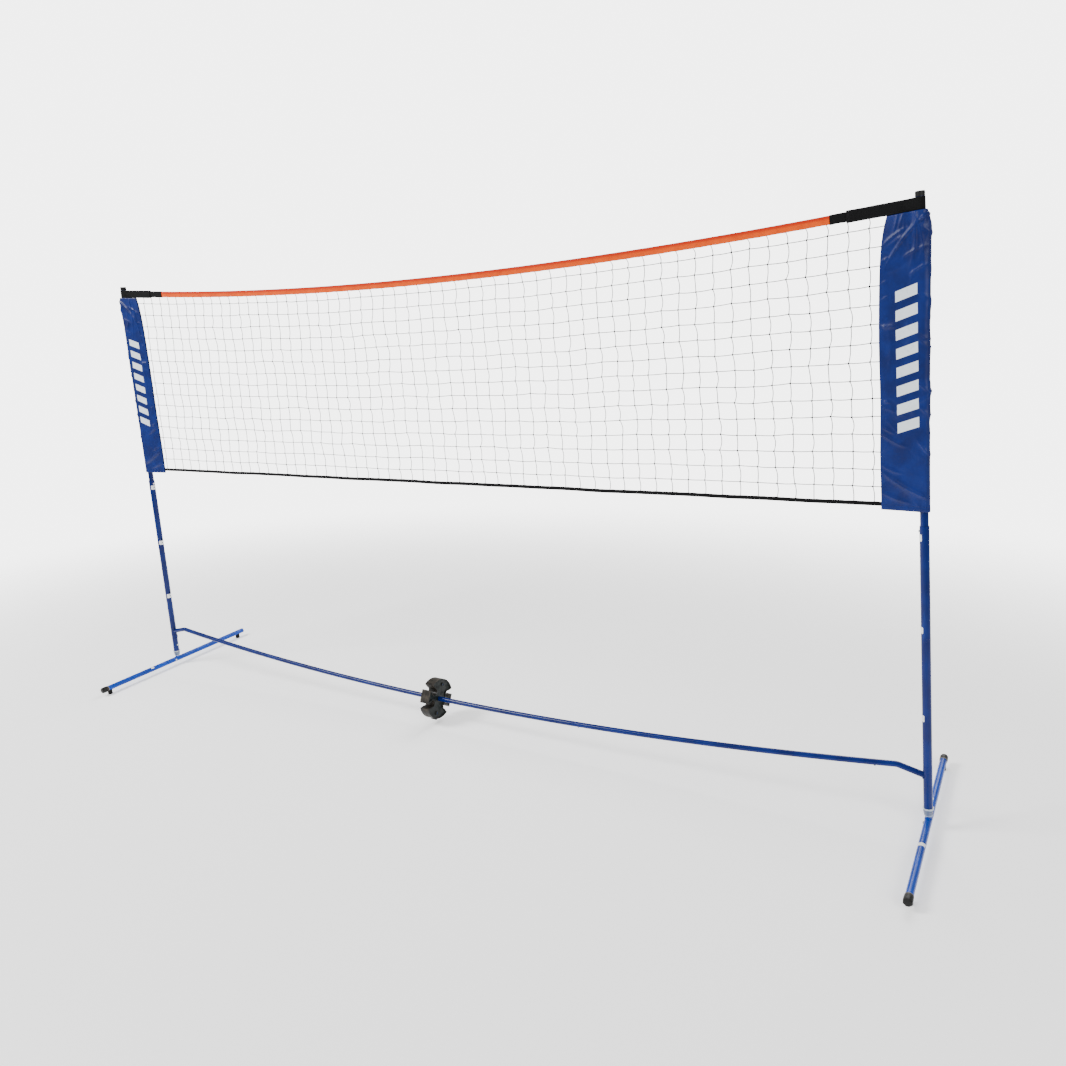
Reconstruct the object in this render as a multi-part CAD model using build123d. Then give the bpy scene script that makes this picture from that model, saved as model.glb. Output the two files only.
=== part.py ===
"""Portable badminton net: two telescopic poles on foot bars, a plug-together ground bar, net and tapes.

Millimetres, +Z up. X runs along the net (left pole at -X, right pole at +X), Y runs along the foot bars.
The origin is on the ground, midway between the poles. The poles are drawn as they stand under the pull of
the net: leaning in a little, with the ground bar bowed down and the top tape sagging.
"""

import math
import os

from build123d import *

os.makedirs("parts", exist_ok=True)

# ---------------------------------------------------------------- overall
half_span = 1474.0           # pole axis to middle, at the foot bars
lean = 2.9                   # inward lean of each pole, degrees
foot_axis_z = 25.0           # axis of the foot bars above the ground
pole_top_z = 1552.0          # top of the pole caps
slide_gap = 0.08             # radial gap of one tube running in another
seat_gap = 0.3               # gap of soft pieces to what they lie on

# ---------------------------------------------------------------- poles
lower_r = 11.0               # outer tube of a pole
upper_r = 9.5                # inner tube of a pole
upper_wall = 1.0
lower_bore_r = upper_r + slide_gap
lower_end_z = 53.0           # lower end of the outer tube, inside the collar
lower_rim_z = 801.0          # upper rim of the outer tube
upper_end_z = 585.0          # lower end of the inner tube with the net at full height
hole_z = [325.0, 557.0, 789.0]   # lock holes in the outer tube
label_drop = 15.0            # label centre below its hole
label_h = 17.0
label_half_angle = 52.0
label_t = 0.3

# ---------------------------------------------------------------- foot bars
foot_r = 9.5
foot_wall = 1.2
foot_half = 352.0            # half length of the foot tube
cap_r = 10.9
cap_len = 24.0
cap_end = 3.0
cap_chamfer = 1.6
plug_flange = 1.2
rubber_r = 8.5
rubber_y = 322.0
rubber_chamfer = 1.0
stub_r = 8.0
stub_wall = 1.2
stub_top_z = 112.0
foot_button_z = 89.0
collar_z = 40.0              # underside of the nylon collar
collar_h = 22.0
collar_wall = 2.5            # at the collar's upper rim, outside the pole
collar_taper = 3.6           # how much less its radius is at the bottom
collar_top_r = lower_r + collar_wall
collar_bottom_r = collar_top_r - collar_taper
collar_neck_z = 76.0
collar_grooves = (0.34, 0.62)   # grooves round the collar, as shares of its height
groove_w = 1.6
groove_d = 0.7
rivet_y = 15.0
rivet_r = 3.6
patch_y = 127.0
patch_w = 18.0
patch_l = 13.0

# ---------------------------------------------------------------- ground bar
bar_r = 8.0
bar_wall = 1.2
bar_mid_z = 86.6             # bar axis at its lowest, in the middle
bar_bow_r = 12048.0          # radius of the bow
arm_bend_x = 1388.0          # where an arm leaves the bow
arm_bend_r = 35.0
arm_fall = 14.0              # slope of the arm down to its pole, degrees
joint_x = [-996.0, -79.0, 443.0, 1318.0]   # seams between the bar's pieces
button_step = [-20.0, None, 22.0, 22.0]    # button beyond its seam; the seam in the clip has none
splice_half = 50.0
splice_wall = 1.0
seam = 0.2

# ---------------------------------------------------------------- snap buttons
button_r = 3.2
bar_button_r = 2.6
button_out = 2.4             # how far a button stands out of the outer tube
button_clear = 0.15
spring_t = 0.8
foot_button_foot = 3.6         # inner end of each kind of button, from its tube's axis
bar_button_foot = 2.6
height_button_foot = 5.4
short_leaf = 20.0              # leaf lengths of the springs
long_leaf = 34.0

# ---------------------------------------------------------------- tube clip on the bar
clip_x = -90.0
clip_t = 36.0
clip_r = 69.0
clip_turn = -28.0            # turn of the clip about the bar, degrees
clip_flat = 64.0             # centre to the flat of the two narrow lobes
notch_angles = (28, 152, 208, 332)   # notches from the axis of the narrow lobes, degrees
notch_r = 11.0
notch_at = 43.0
notch_mouth = 20.0
ear_r = 8.5                    # ear under the lower screw, on the right half
ear_at = 64.0
screw_at = 49.5
clip_gap = 0.08
clip_wall = 3.0                # rim round the recess in each face
clip_recess = 3.5
screw_boss_r = 6.5
screw_hole_r = 2.1
screw_sink_r = 4.1
screw_sink = 4.0
screw_head_r = 3.9
screw_shank_r = 2.0
screw_slot = 1.0

# ---------------------------------------------------------------- net and tapes
tape_drop = 86.1             # pole tops to the centre of the top tape at mid span
tape_mid_z = pole_top_z - tape_drop
tape_sag_r = 15873.0
tape_h = 20.0
tape_t = 4.0
tape_left = -1178.0          # ends of the orange part
tape_right = 1207.0
tape_end_x = 1345.0          # ends of the black part, inside the straps
tape_end_h = 22.0
tunnel_h = 2.6                 # tunnel for the cord near the tape's upper edge
tunnel_top = 1.0
cord_r = 1.0
bottom_z = 850.0
bottom_h = 10.0
bottom_t = 2.2
twine = 1.2
columns = 58
rows = 16
net_inset = 55.0             # net edge to pole axis
side_tape_w = 14.0
side_tape_t = 2.4

# ---------------------------------------------------------------- sleeves and straps
sleeve_bottom_z = 837.0
sleeve_pocket_x = -6.0       # pocket centre outside the pole axis
sleeve_pocket_r = 12.1
sleeve_edge_x = 85.0
sleeve_edge_r = 1.8
sleeve_t = 1.0
sleeve_slot = 1.7
strap_pole_drop = 26.0       # pole tops to the strap's centre at the pole axis
strap_pole_z = pole_top_z - strap_pole_drop
strap_inner_x = 1244.0
strap_inner_drop = 37.4      # pole tops to the strap's inner end
strap_inner_z = pole_top_z - strap_inner_drop
strap_h = 27.0
strap_t = 1.6
strap_pinch = 32.0
strap_gap = 2.3
cap_top_h = 11.5
cap_top_r = 10.4
cap_top_fillet = 2.0
cap_top_bore_r = 6.5
cap_top_skin = 4.0

# ================================================================ helpers
sin_lean = math.sin(math.radians(lean))
cos_lean = math.cos(math.radians(lean))
tan_lean = math.tan(math.radians(lean))


def up(z):
    """Distance along a pole axis, from the foot bar axis, at height z."""
    return (z - foot_axis_z) / cos_lean


def pole_x(z):
    """Distance of a pole axis from mid span at height z."""
    return half_span - (z - foot_axis_z) * tan_lean


def pole_frame(side):
    """Frame on a pole axis: local z up the pole, local x towards the net."""
    return Plane(
        origin=(side * half_span, 0, foot_axis_z),
        x_dir=(-side * cos_lean, 0, -sin_lean),
        z_dir=(-side * sin_lean, 0, cos_lean),
    )


def cylinder(r, z0, z1):
    """Cylinder about local z from z0 to z1."""
    return Pos(0, 0, (z0 + z1) / 2) * Cylinder(r, z1 - z0)


def tube(r_out, r_in, z0, z1):
    """Tube about local z from z0 to z1."""
    return cylinder(r_out, z0, z1) - cylinder(r_in, z0 - 1, z1 + 1)


def along_x(r, z, x0, x1):
    """Cylinder lying along local x at height z, from x0 to x1."""
    return Pos((x0 + x1) / 2, 0, z) * Rot(0, 90, 0) * Cylinder(r, abs(x1 - x0))


def arc_z(x, mid_z, radius):
    """Height of an arc whose lowest point is at x = 0."""
    return mid_z + radius - math.sqrt(radius**2 - x**2)


def bar_z(x):
    """Height of the ground bar's axis."""
    return arc_z(x, bar_mid_z, bar_bow_r)


def bar_frame(x):
    """Frame on the bar: local x along the bar, local z down through its underside."""
    dx = x / bar_bow_r
    dz = math.sqrt(1 - dx**2)
    return Plane(origin=(x, 0, bar_z(x)), x_dir=(dz, 0, dx), z_dir=(dx, 0, -dz))


def bar_arc(x0, x1):
    """Centre line of the bar between two stations."""
    xm = (x0 + x1) / 2
    return ThreePointArc((x0, 0, bar_z(x0)), (xm, 0, bar_z(xm)), (x1, 0, bar_z(x1)))


def sweep_round(path, r):
    """Round bar of radius r along a path."""
    section = Plane(origin=path @ 0, z_dir=path % 0) * Circle(r)
    return sweep(section, path=path)


def sweep_tube(path, r_out, r_in):
    """Round tube along a path."""
    section = Plane(origin=path @ 0, z_dir=path % 0) * (Circle(r_out) - Circle(r_in))
    return sweep(section, path=path)


def pocket(x1, r1, x2, r2):
    """Flat outline that wraps a circle at x1 and a smaller one at x2."""
    return make_hull((Pos(x1, 0) * Circle(r1)).edges() + (Pos(x2, 0) * Circle(r2)).edges())


def button(r, foot, tip, bore_r):
    """Snap button along local z: a domed pin on a flange that stays inside a tube of radius bore_r."""
    flange_r = r + 0.7
    flange_top = math.sqrt(bore_r**2 - flange_r**2) - 0.1
    pin = cylinder(r, foot, tip)
    pin = fillet(pin.edges().sort_by(Axis.Z)[-1:], r * 0.55)
    return pin + cylinder(flange_r, flange_top - 0.8, flange_top)


def spring(bore_r, foot, length, width):
    """V spring in a tube along local x: one leaf under the button, one on the far wall."""
    far = -math.sqrt(bore_r**2 - (width / 2) ** 2) + 0.05
    near = foot - 0.05
    outline = Polyline(
        (8, near),
        (-length, near),
        (-length - 6, (near + far) / 2 + spring_t),
        (-length - 6, (near + far) / 2 - spring_t),
        (-length, far),
        (8, far),
        (8, far + spring_t),
        (-length + 2, far + spring_t),
        (-length - 3, (near + far) / 2),
        (-length + 2, near - spring_t),
        (8, near - spring_t),
        close=True,
    )
    face = Plane.XZ * make_face(outline)
    return extrude(face, amount=width / 2, both=True)


def save(name, *shapes):
    """One STEP file per node."""
    solids = [s for shape in shapes for s in shape.solids()]
    made = solids[0] if len(solids) == 1 else Compound(children=solids)
    made.label = name
    export_step(made, f"parts/{name}.step")
    print(name, len(solids), round(sum(s.volume for s in solids), 1))


def placed(plane, shape):
    """Shape moved from a local frame to its place."""
    return plane.location * shape


sides = {"left": -1, "right": 1}

# ================================================================ foot bars, collars and feet
foot_bore_r = foot_r - foot_wall
stub_bore_r = stub_r - stub_wall
caps = []
rubbers = []
rivets = []
patches = []
for name, side in sides.items():
    frame = pole_frame(side)
    bar_place = Pos(side * half_span, 0, foot_axis_z) * Rot(90, 0, 0)
    outer = bar_place * Cylinder(foot_r, 2 * foot_half)
    inner = bar_place * Cylinder(foot_bore_r, 2 * foot_half + 2)
    stub = placed(frame, cylinder(stub_r, 2, up(stub_top_z)))
    stub_bore = placed(frame, cylinder(stub_bore_r, 0, up(stub_top_z) + 1))
    hole_dir = Rot(0, 90 * -side, 0)
    hole = cylinder(bar_button_r + button_clear, 0, 20)
    hole = placed(frame, Pos(0, 0, up(foot_button_z)) * hole_dir * hole)
    save(f"{name}_foot_bar", outer + stub - inner - stub_bore - hole)

    # tapered collar: a cup round the pole's end, a neck up inside the pole
    collar = placed(
        frame,
        Pos(0, 0, up(collar_z) + collar_h / 2) * Cone(collar_bottom_r, collar_top_r, collar_h),
    )
    for groove in collar_grooves:
        at = up(collar_z) + collar_h * groove
        r_at = collar_bottom_r + (collar_top_r - collar_bottom_r) * groove
        collar -= placed(frame, tube(r_at + 3, r_at - groove_d, at, at + groove_w))
    collar += placed(frame, cylinder(lower_bore_r - 0.05, up(collar_z) + 5, up(collar_neck_z)))
    collar -= placed(frame, tube(lower_r + 0.03, lower_bore_r - 0.05, up(lower_end_z), up(collar_neck_z) + 1))
    collar -= placed(frame, cylinder(stub_r + 0.03, 0, up(collar_neck_z) + 2))
    save(f"{name}_collar", collar)

    cap = cylinder(cap_r, foot_half - cap_len + cap_end, foot_half + cap_end)
    cap = chamfer(cap.edges().sort_by(Axis.Z)[-1:], cap_chamfer)
    cap -= cylinder(foot_r + 0.02, foot_half - cap_len, foot_half + 0.02)
    far_place = Pos(side * half_span, 0, foot_axis_z) * Rot(-90, 0, 0)
    caps.append(bar_place * cap)
    if side > 0:
        caps.append(far_place * cap)
    else:
        plug = cylinder(foot_r, foot_half + 0.02, foot_half + plug_flange)
        plug += cylinder(foot_bore_r - 0.03, foot_half - 16, foot_half + 0.1)
        save("left_far_plug", far_place * plug)

    for y in (-rubber_y, rubber_y):
        rubber = Pos(side * half_span, y, 0) * cylinder(rubber_r, 0, foot_axis_z)
        rubber = chamfer(rubber.edges().sort_by(Axis.Z)[:1], rubber_chamfer)
        rubber -= bar_place * Cylinder(foot_r + 0.01, 2 * foot_half)
        rubbers.append(rubber.solids().sort_by(Axis.Z)[0])

    rivet_place = Pos(side * (half_span - foot_r - 0.5), -rivet_y, foot_axis_z) * Rot(0, 90, 0)
    rivet = rivet_place * Cylinder(rivet_r, 3)
    rivets.append(rivet - bar_place * Cylinder(foot_r, 2 * foot_half))
    patch_ring = bar_place * (Cylinder(foot_r + label_t, 2 * foot_half) - Cylinder(foot_r, 2 * foot_half + 2))
    patch_cut = Pos(side * half_span, -patch_y, foot_axis_z + foot_r) * Box(patch_w, patch_l, foot_r)
    patches.append(patch_ring & patch_cut)

    reach = lower_r + 2.0
    press = placed(
        frame,
        Pos(0, 0, up(foot_button_z)) * hole_dir * button(bar_button_r, foot_button_foot, reach, stub_bore_r),
    )
    save(f"{name}_foot_button", press)
    leaf = spring(stub_bore_r, foot_button_foot, short_leaf, 6)
    turn = Plane(
        origin=(0, 0, up(foot_button_z)),
        x_dir=(0, 0, 1),
        z_dir=(-side, 0, 0),
    )
    save(f"{name}_foot_spring", placed(frame, placed(turn, leaf)))

save("foot_end_caps", *caps)
save("rubber_feet", *rubbers)
save("foot_rivets", *rivets)
save("foot_labels", *patches)

# ================================================================ poles
label_set = []
for name, side in sides.items():
    frame = pole_frame(side)
    lower = tube(lower_r, lower_bore_r, up(lower_end_z), up(lower_rim_z))
    for z in hole_z:
        lower -= along_x(button_r + button_clear, up(z), 0, lower_r + 2)
    foot_hole = along_x(bar_button_r + button_clear, up(foot_button_z), 0, -side * (lower_r + 2))
    save(f"{name}_lower_pole", placed(frame, lower - foot_hole))

    for z in hole_z:
        label_s = up(z - label_drop)
        ring = tube(lower_r + label_t, lower_r + 0.02, label_s - label_h / 2, label_s + label_h / 2)
        spread = 40 * math.tan(math.radians(label_half_angle))
        wedge = extrude(
            make_face(Polyline((0, 0), (40, -spread), (40, spread), close=True)),
            amount=up(pole_top_z),
        )
        label_set.append(placed(frame, ring & wedge))

    upper = tube(upper_r, upper_r - upper_wall, up(upper_end_z), up(pole_top_z) - 2)
    upper -= along_x(button_r + 0.06, up(hole_z[2]), 0, upper_r + 2)
    save(f"{name}_upper_pole", placed(frame, upper))

    top = up(pole_top_z)
    cap = cylinder(cap_top_r, top - cap_top_h, top)
    cap = fillet(cap.edges().sort_by(Axis.Z)[-1:], cap_top_fillet)
    cap -= tube(upper_r + 0.02, upper_r - upper_wall - 0.03, top - cap_top_h - 1, top - 1.98)
    cap -= cylinder(cap_top_bore_r, top - cap_top_h - 1, top - cap_top_skin)
    save(f"{name}_top_cap", placed(frame, cap))

    bore = upper_r - upper_wall
    lock = Plane(origin=(0, 0, up(hole_z[2])), x_dir=(0, 0, 1), z_dir=(1, 0, 0))
    pin = button(button_r, height_button_foot, lower_r + button_out, bore)
    save(f"{name}_height_button", placed(frame, placed(lock, pin)))
    save(f"{name}_height_spring", placed(frame, placed(lock, spring(bore, height_button_foot, long_leaf, 7))))

save("height_labels", *label_set)

# ================================================================ ground bar
bar_bore_r = bar_r - bar_wall
splice_r = bar_bore_r - slide_gap
splice_bore_r = splice_r - splice_wall
splice_rise = splice_half**2 / bar_bow_r / 4    # a straight splice lies evenly in the bowed bore


def arm_path(side, end_x):
    """Centre line of an arm: from its pole axis up to the bend, then along the bow to end_x."""
    rise = math.asin(arm_bend_x / bar_bow_r)
    fall = -math.radians(arm_fall)
    x2 = arm_bend_x
    z2 = bar_z(arm_bend_x)
    cx = x2 + arm_bend_r * math.sin(rise)
    cz = z2 - arm_bend_r * math.cos(rise)
    mid = (rise + fall) / 2
    xm = cx - arm_bend_r * math.sin(mid)
    zm = cz + arm_bend_r * math.cos(mid)
    x1 = cx - arm_bend_r * math.sin(fall)
    z1 = cz + arm_bend_r * math.cos(fall)
    reach = (half_span - x1 - (z1 - foot_axis_z) * tan_lean) / (math.cos(fall) + math.sin(fall) * tan_lean)
    x0 = x1 + reach * math.cos(fall)
    z0 = z1 + reach * math.sin(fall)
    straight = Line((side * x0, 0, z0), (side * x1, 0, z1))
    bend = ThreePointArc((side * x1, 0, z1), (side * xm, 0, zm), (side * x2, 0, z2))
    return Wire([straight, bend, bar_arc(side * x2, end_x)])


def bar_hole(x, r):
    """Cutter for a button hole in the underside of the bar at station x."""
    return placed(bar_frame(x), cylinder(r, 0, bar_r + 3))


button_x = [x + step for x, step in zip(joint_x, button_step) if step is not None]
pieces = {
    "left_arm": arm_path(-1, joint_x[0] - seam / 2),
    "bar_left": bar_arc(joint_x[0] + seam / 2, joint_x[1] - seam / 2),
    "bar_middle": bar_arc(joint_x[1] + seam / 2, joint_x[2] - seam / 2),
    "bar_right": bar_arc(joint_x[2] + seam / 2, joint_x[3] - seam / 2),
    "right_arm": arm_path(1, joint_x[3] + seam / 2),
}
holes = {"left_arm": button_x[0], "bar_right": button_x[1], "right_arm": button_x[2]}
for name, path in pieces.items():
    piece = sweep_tube(path, bar_r, bar_bore_r)
    if name in holes:
        piece -= bar_hole(holes[name], bar_button_r + button_clear)
    if name.endswith("arm"):
        side = sides[name[:-4]]
        piece -= placed(pole_frame(side), cylinder(lower_r + 0.02, up(60), up(260)))
    save(name, piece)

splices = []
for x in joint_x:
    splice = along_x(splice_r, -splice_rise, -splice_half, splice_half)
    splice -= along_x(splice_bore_r, -splice_rise, -splice_half - 1, splice_half + 1)
    splice = placed(bar_frame(x), splice)
    for bx in button_x:
        if abs(bx - x) < splice_half:
            splice -= bar_hole(bx, bar_button_r + 0.06)
    splices.append(splice)
save("bar_splices", *splices)

for name, x in zip(("left", "middle", "right"), button_x):
    outward = bar_frame(x)
    pin = button(bar_button_r, bar_button_foot, bar_r + button_out, splice_bore_r)
    save(f"bar_button_{name}", placed(outward, pin))
    leaf = spring(splice_bore_r, bar_button_foot, short_leaf, 5)
    if name == "left":
        leaf = Rot(0, 0, 180) * leaf
    save(f"bar_spring_{name}", placed(outward, leaf))

# ================================================================ tube clip
clip_plane = Plane(
    origin=(clip_x, 0, bar_z(clip_x)),
    x_dir=(0, 1, 0),
    z_dir=(math.sqrt(1 - (clip_x / bar_bow_r) ** 2), 0, clip_x / bar_bow_r),
)
outline = Circle(clip_r) & Rectangle(2 * clip_flat, 3 * clip_r)
for angle in notch_angles:
    notch = Pos(notch_at, 0) * Circle(notch_r) + Pos(notch_at + 25, 0) * Rectangle(50, notch_mouth)
    outline -= Rot(0, 0, angle) * notch
outline = Rot(0, 0, clip_turn) * outline
screw_spots = [clip_turn + 90, clip_turn + 270]
bosses = Sketch()
for angle in screw_spots:
    bosses += Rot(0, 0, angle) * Pos(screw_at, 0) * Circle(screw_boss_r)
ear = Rot(0, 0, screw_spots[1]) * Pos(ear_at, 0) * Circle(ear_r)
recess = offset(outline, -clip_wall, kind=Kind.INTERSECTION) - bosses
bore = Circle(bar_r + clip_gap)
for name, z0, face_z in (("left", -clip_t / 2, -1), ("right", 0.05, 1)):
    shape = outline + ear if face_z > 0 else outline
    half = extrude(shape - bore, amount=clip_t / 2 - 0.05)
    pocket_cut = extrude(recess, amount=clip_recess)
    if face_z > 0:
        half -= Pos(0, 0, clip_t / 2 - 0.05 - clip_recess) * pocket_cut
    else:
        half -= pocket_cut
    half = Pos(0, 0, z0) * half
    for angle in screw_spots:
        spot = Rot(0, 0, angle) * Pos(screw_at, 0, 0)
        half -= spot * cylinder(screw_hole_r, -clip_t, clip_t)
        half -= spot * cylinder(screw_sink_r, clip_t / 2 - screw_sink, clip_t)
    save(f"clip_{name}_half", placed(clip_plane, half))
screws = []
for angle in screw_spots:
    spot = Rot(0, 0, angle) * Pos(screw_at, 0, 0)
    screw = cylinder(screw_head_r, clip_t / 2 - 3.9, clip_t / 2 - 1.2)
    screw += cylinder(screw_shank_r, -clip_t / 2 + 3, clip_t / 2 - 3.5)
    screw -= Pos(0, 0, clip_t / 2 - 1.2) * Box(5.4, screw_slot, 2.2)
    screw -= Pos(0, 0, clip_t / 2 - 1.2) * Box(screw_slot, 5.4, 2.2)
    screws.append(placed(clip_plane, spot * screw))
save("clip_screws", *screws)

# ================================================================ tapes
def tape_z(x):
    """Height of the top tape's centre line."""
    return arc_z(x, tape_mid_z, tape_sag_r)


def net_z(x, share):
    """Height of a net line that lies at a share of the way from the bottom tape to the top tape."""
    low = bottom_z + bottom_h / 2
    return low + share * (tape_z(x) - tape_h / 2 - low)


def band(x0, x1, line, z_low, z_high, y0, y1):
    """Strip that follows a line from x0 to x1, between two offsets in z and two in y."""
    xm = (x0 + x1) / 2
    edges = [
        ThreePointArc(*((x, 0, line(x) + z_low) for x in (x0, xm, x1))),
        Line((x1, 0, line(x1) + z_low), (x1, 0, line(x1) + z_high)),
        ThreePointArc(*((x, 0, line(x) + z_high) for x in (x1, xm, x0))),
        Line((x0, 0, line(x0) + z_high), (x0, 0, line(x0) + z_low)),
    ]
    face = make_face(edges)
    return Pos(0, y0, 0) * extrude(face, amount=y1 - y0, dir=(0, 1, 0))


def prism(points, y0, y1):
    """Solid on an outline drawn in the plane of the net, from y0 to y1."""
    face = make_face(Polyline(*((x, 0, z) for x, z in points), close=True))
    return Pos(0, y0, 0) * extrude(face, amount=y1 - y0, dir=(0, 1, 0))


def hollow_tape(x0, x1, height):
    """Tape folded round a cord: a strip with a tunnel near its upper edge."""
    strip = band(x0, x1, tape_z, -height / 2, height / 2, -tape_t / 2, tape_t / 2)
    high = tape_h / 2 - tunnel_top
    return strip - band(x0 - 1, x1 + 1, tape_z, high - tunnel_h, high, -tunnel_h / 2, tunnel_h / 2)


save("top_tape", hollow_tape(tape_left, tape_right, tape_h))
save(
    "tape_ends",
    hollow_tape(-tape_end_x, tape_left, tape_end_h),
    hollow_tape(tape_right, tape_end_x, tape_end_h),
)
cord_low = tape_h / 2 - tunnel_top - tunnel_h / 2


def cord_point(x):
    """Point on the centre line of the headline cord."""
    return (x, 0, tape_z(x) + cord_low)


cord_path = ThreePointArc(cord_point(-tape_end_x + 1), cord_point(0), cord_point(tape_end_x - 1))
save("headline_cord", sweep_round(cord_path, cord_r))

bottom_end = pole_x(bottom_z) - net_inset
save(
    "bottom_tape",
    Pos(0, 0, bottom_z) * Box(2 * bottom_end, bottom_t, bottom_h),
)

# ================================================================ net
low_z = bottom_z + bottom_h / 2
low_half = pole_x(low_z) - net_inset - side_tape_w
high_z = tape_z(tape_end_x) - tape_h / 2
high_half = pole_x(high_z) - net_inset - side_tape_w
strands = []
for i in range(1, columns):
    share = -1 + 2 * i / columns
    xb = share * low_half
    xt = share * high_half
    zt = tape_z(abs(xt) - twine) - tape_end_h / 2
    w = twine / 2
    strands.append(prism([(xb - w, low_z), (xb + w, low_z), (xt + w, zt), (xt - w, zt)], -twine, 0))
for j in range(1, rows):
    share = j / rows

    def line(x, share=share):
        return net_z(x, share)

    end = pole_x(net_z(low_half, share)) - net_inset - side_tape_w - 0.15
    strands.append(band(-end, end, line, -twine / 2, twine / 2, 0, twine))
save("net_mesh", *strands)

side_tapes = []
for side in (-1, 1):
    xb = pole_x(low_z) - net_inset
    xt = pole_x(high_z) - net_inset
    z_in = tape_z(xt - side_tape_w) - tape_end_h / 2 - 0.05
    corners = [(xb - side_tape_w, low_z), (xb, low_z), (xt, z_in), (xt - side_tape_w, z_in)]
    side_tapes.append(prism([(side * x, z) for x, z in corners], -side_tape_t / 2, side_tape_t / 2))
save("net_side_tapes", *side_tapes)

# ================================================================ sleeves and straps
strap_slope = (strap_pole_z - strap_inner_z) / (pole_x(strap_pole_z) - strap_inner_x)
strap_angle = math.atan(strap_slope)
strap_len = (pole_x(strap_pole_z) - strap_inner_x) / math.cos(strap_angle)
for name, side in sides.items():
    frame = pole_frame(side)
    strap_frame = Plane(
        origin=(side * pole_x(strap_pole_z), 0, strap_pole_z),
        x_dir=(-side * math.cos(strap_angle), 0, -math.sin(strap_angle)),
        z_dir=(-side * math.sin(strap_angle), 0, math.cos(strap_angle)),
    )
    loop_r = upper_r + 0.5
    inner = pocket(0, loop_r, strap_pinch, strap_gap)
    inner += Pos((strap_pinch + strap_len + 5) / 2, 0) * Rectangle(strap_len + 5 - strap_pinch, 2 * strap_gap)
    outer = pocket(0, loop_r + strap_t, strap_pinch, strap_gap + strap_t)
    tail = Rectangle(strap_len - strap_pinch, 2 * (strap_gap + strap_t))
    outer += Pos((strap_pinch + strap_len) / 2, 0) * tail
    strap = extrude(outer - inner, amount=strap_h / 2, both=True)
    save(f"{name}_strap", placed(strap_frame, strap))

    walls = pocket(sleeve_pocket_x, sleeve_pocket_r + sleeve_t, sleeve_edge_x, sleeve_edge_r + sleeve_t)
    walls -= pocket(sleeve_pocket_x, sleeve_pocket_r, sleeve_edge_x, sleeve_edge_r)
    walls -= Pos(sleeve_edge_x + 5, 0) * Rectangle(12, 2 * sleeve_slot)
    sleeve = Pos(0, 0, up(sleeve_bottom_z)) * extrude(walls, amount=up(pole_top_z) - up(sleeve_bottom_z))
    over = Pos(0, 0, -strap_h / 2 - seat_gap + 100) * Box(400, 100, 200)
    save(f"{name}_sleeve", placed(frame, sleeve) - placed(strap_frame, over))
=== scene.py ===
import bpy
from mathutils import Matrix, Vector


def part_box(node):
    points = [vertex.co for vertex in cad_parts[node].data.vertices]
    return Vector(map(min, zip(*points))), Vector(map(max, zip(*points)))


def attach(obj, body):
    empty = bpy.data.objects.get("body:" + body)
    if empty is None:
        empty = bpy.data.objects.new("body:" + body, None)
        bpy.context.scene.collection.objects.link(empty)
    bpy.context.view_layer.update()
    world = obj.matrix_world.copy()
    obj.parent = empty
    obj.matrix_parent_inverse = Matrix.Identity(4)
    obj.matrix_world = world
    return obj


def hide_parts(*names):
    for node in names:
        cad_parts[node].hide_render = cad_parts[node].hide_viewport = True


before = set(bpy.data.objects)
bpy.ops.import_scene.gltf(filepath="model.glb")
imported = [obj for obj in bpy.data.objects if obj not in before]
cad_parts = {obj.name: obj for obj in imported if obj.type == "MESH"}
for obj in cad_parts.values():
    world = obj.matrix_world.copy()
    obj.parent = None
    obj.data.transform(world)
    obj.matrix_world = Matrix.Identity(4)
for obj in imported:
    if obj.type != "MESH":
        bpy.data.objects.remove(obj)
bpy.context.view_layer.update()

import math

import bmesh
import bpy
import numpy as np
from mathutils import Matrix

# ---------------------------------------------------------------- studio
# The net stands on a plain pale floor under large soft lamps. It is looked at from
# in front of the right pole, a little below the top tape, with a moderately wide lens.
look_yaw = math.radians(-31.525)
look_pitch = math.radians(14.295)
look_roll = math.radians(-4.076)
forward = np.array([
    math.sin(look_yaw) * math.cos(look_pitch),
    math.cos(look_yaw) * math.cos(look_pitch),
    -math.sin(look_pitch),
])
level = np.array([math.cos(look_yaw), -math.sin(look_yaw), 0.0])
upright = np.cross(level, forward)
camera_x = math.cos(look_roll) * level + math.sin(look_roll) * upright
camera_y = math.cos(look_roll) * upright - math.sin(look_roll) * level

camera_data = bpy.data.cameras.new("viewer")
camera_data.lens = 29.39
camera_data.sensor_width = 36.0
camera_data.clip_end = 60.0
camera = bpy.data.objects.new("viewer", camera_data)
camera.matrix_world = Matrix([
    [camera_x[0], camera_y[0], -forward[0], 1.6832],
    [camera_x[1], camera_y[1], -forward[1], -2.17425],
    [camera_x[2], camera_y[2], -forward[2], 1.35761],
    [0, 0, 0, 1],
])
bpy.context.scene.collection.objects.link(camera)
bpy.context.scene.camera = camera


def lamp(name, place, aim, size, power):
    """A square lamp of that size and power at place, its face turned to the point aim."""
    data = bpy.data.lights.new(name, "AREA")
    data.size = size
    data.energy = power
    light = bpy.data.objects.new(name, data)
    down = np.asarray(aim, float) - np.asarray(place, float)
    down /= np.linalg.norm(down)
    right = np.cross(down, [0.02, 0.03, 1.0])
    right /= np.linalg.norm(right)
    over = np.cross(right, down)
    columns = np.stack([right, over, -down, place], 1)
    light.matrix_world = Matrix(columns.tolist() + [[0, 0, 0, 1]])
    bpy.context.scene.collection.objects.link(light)


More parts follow.
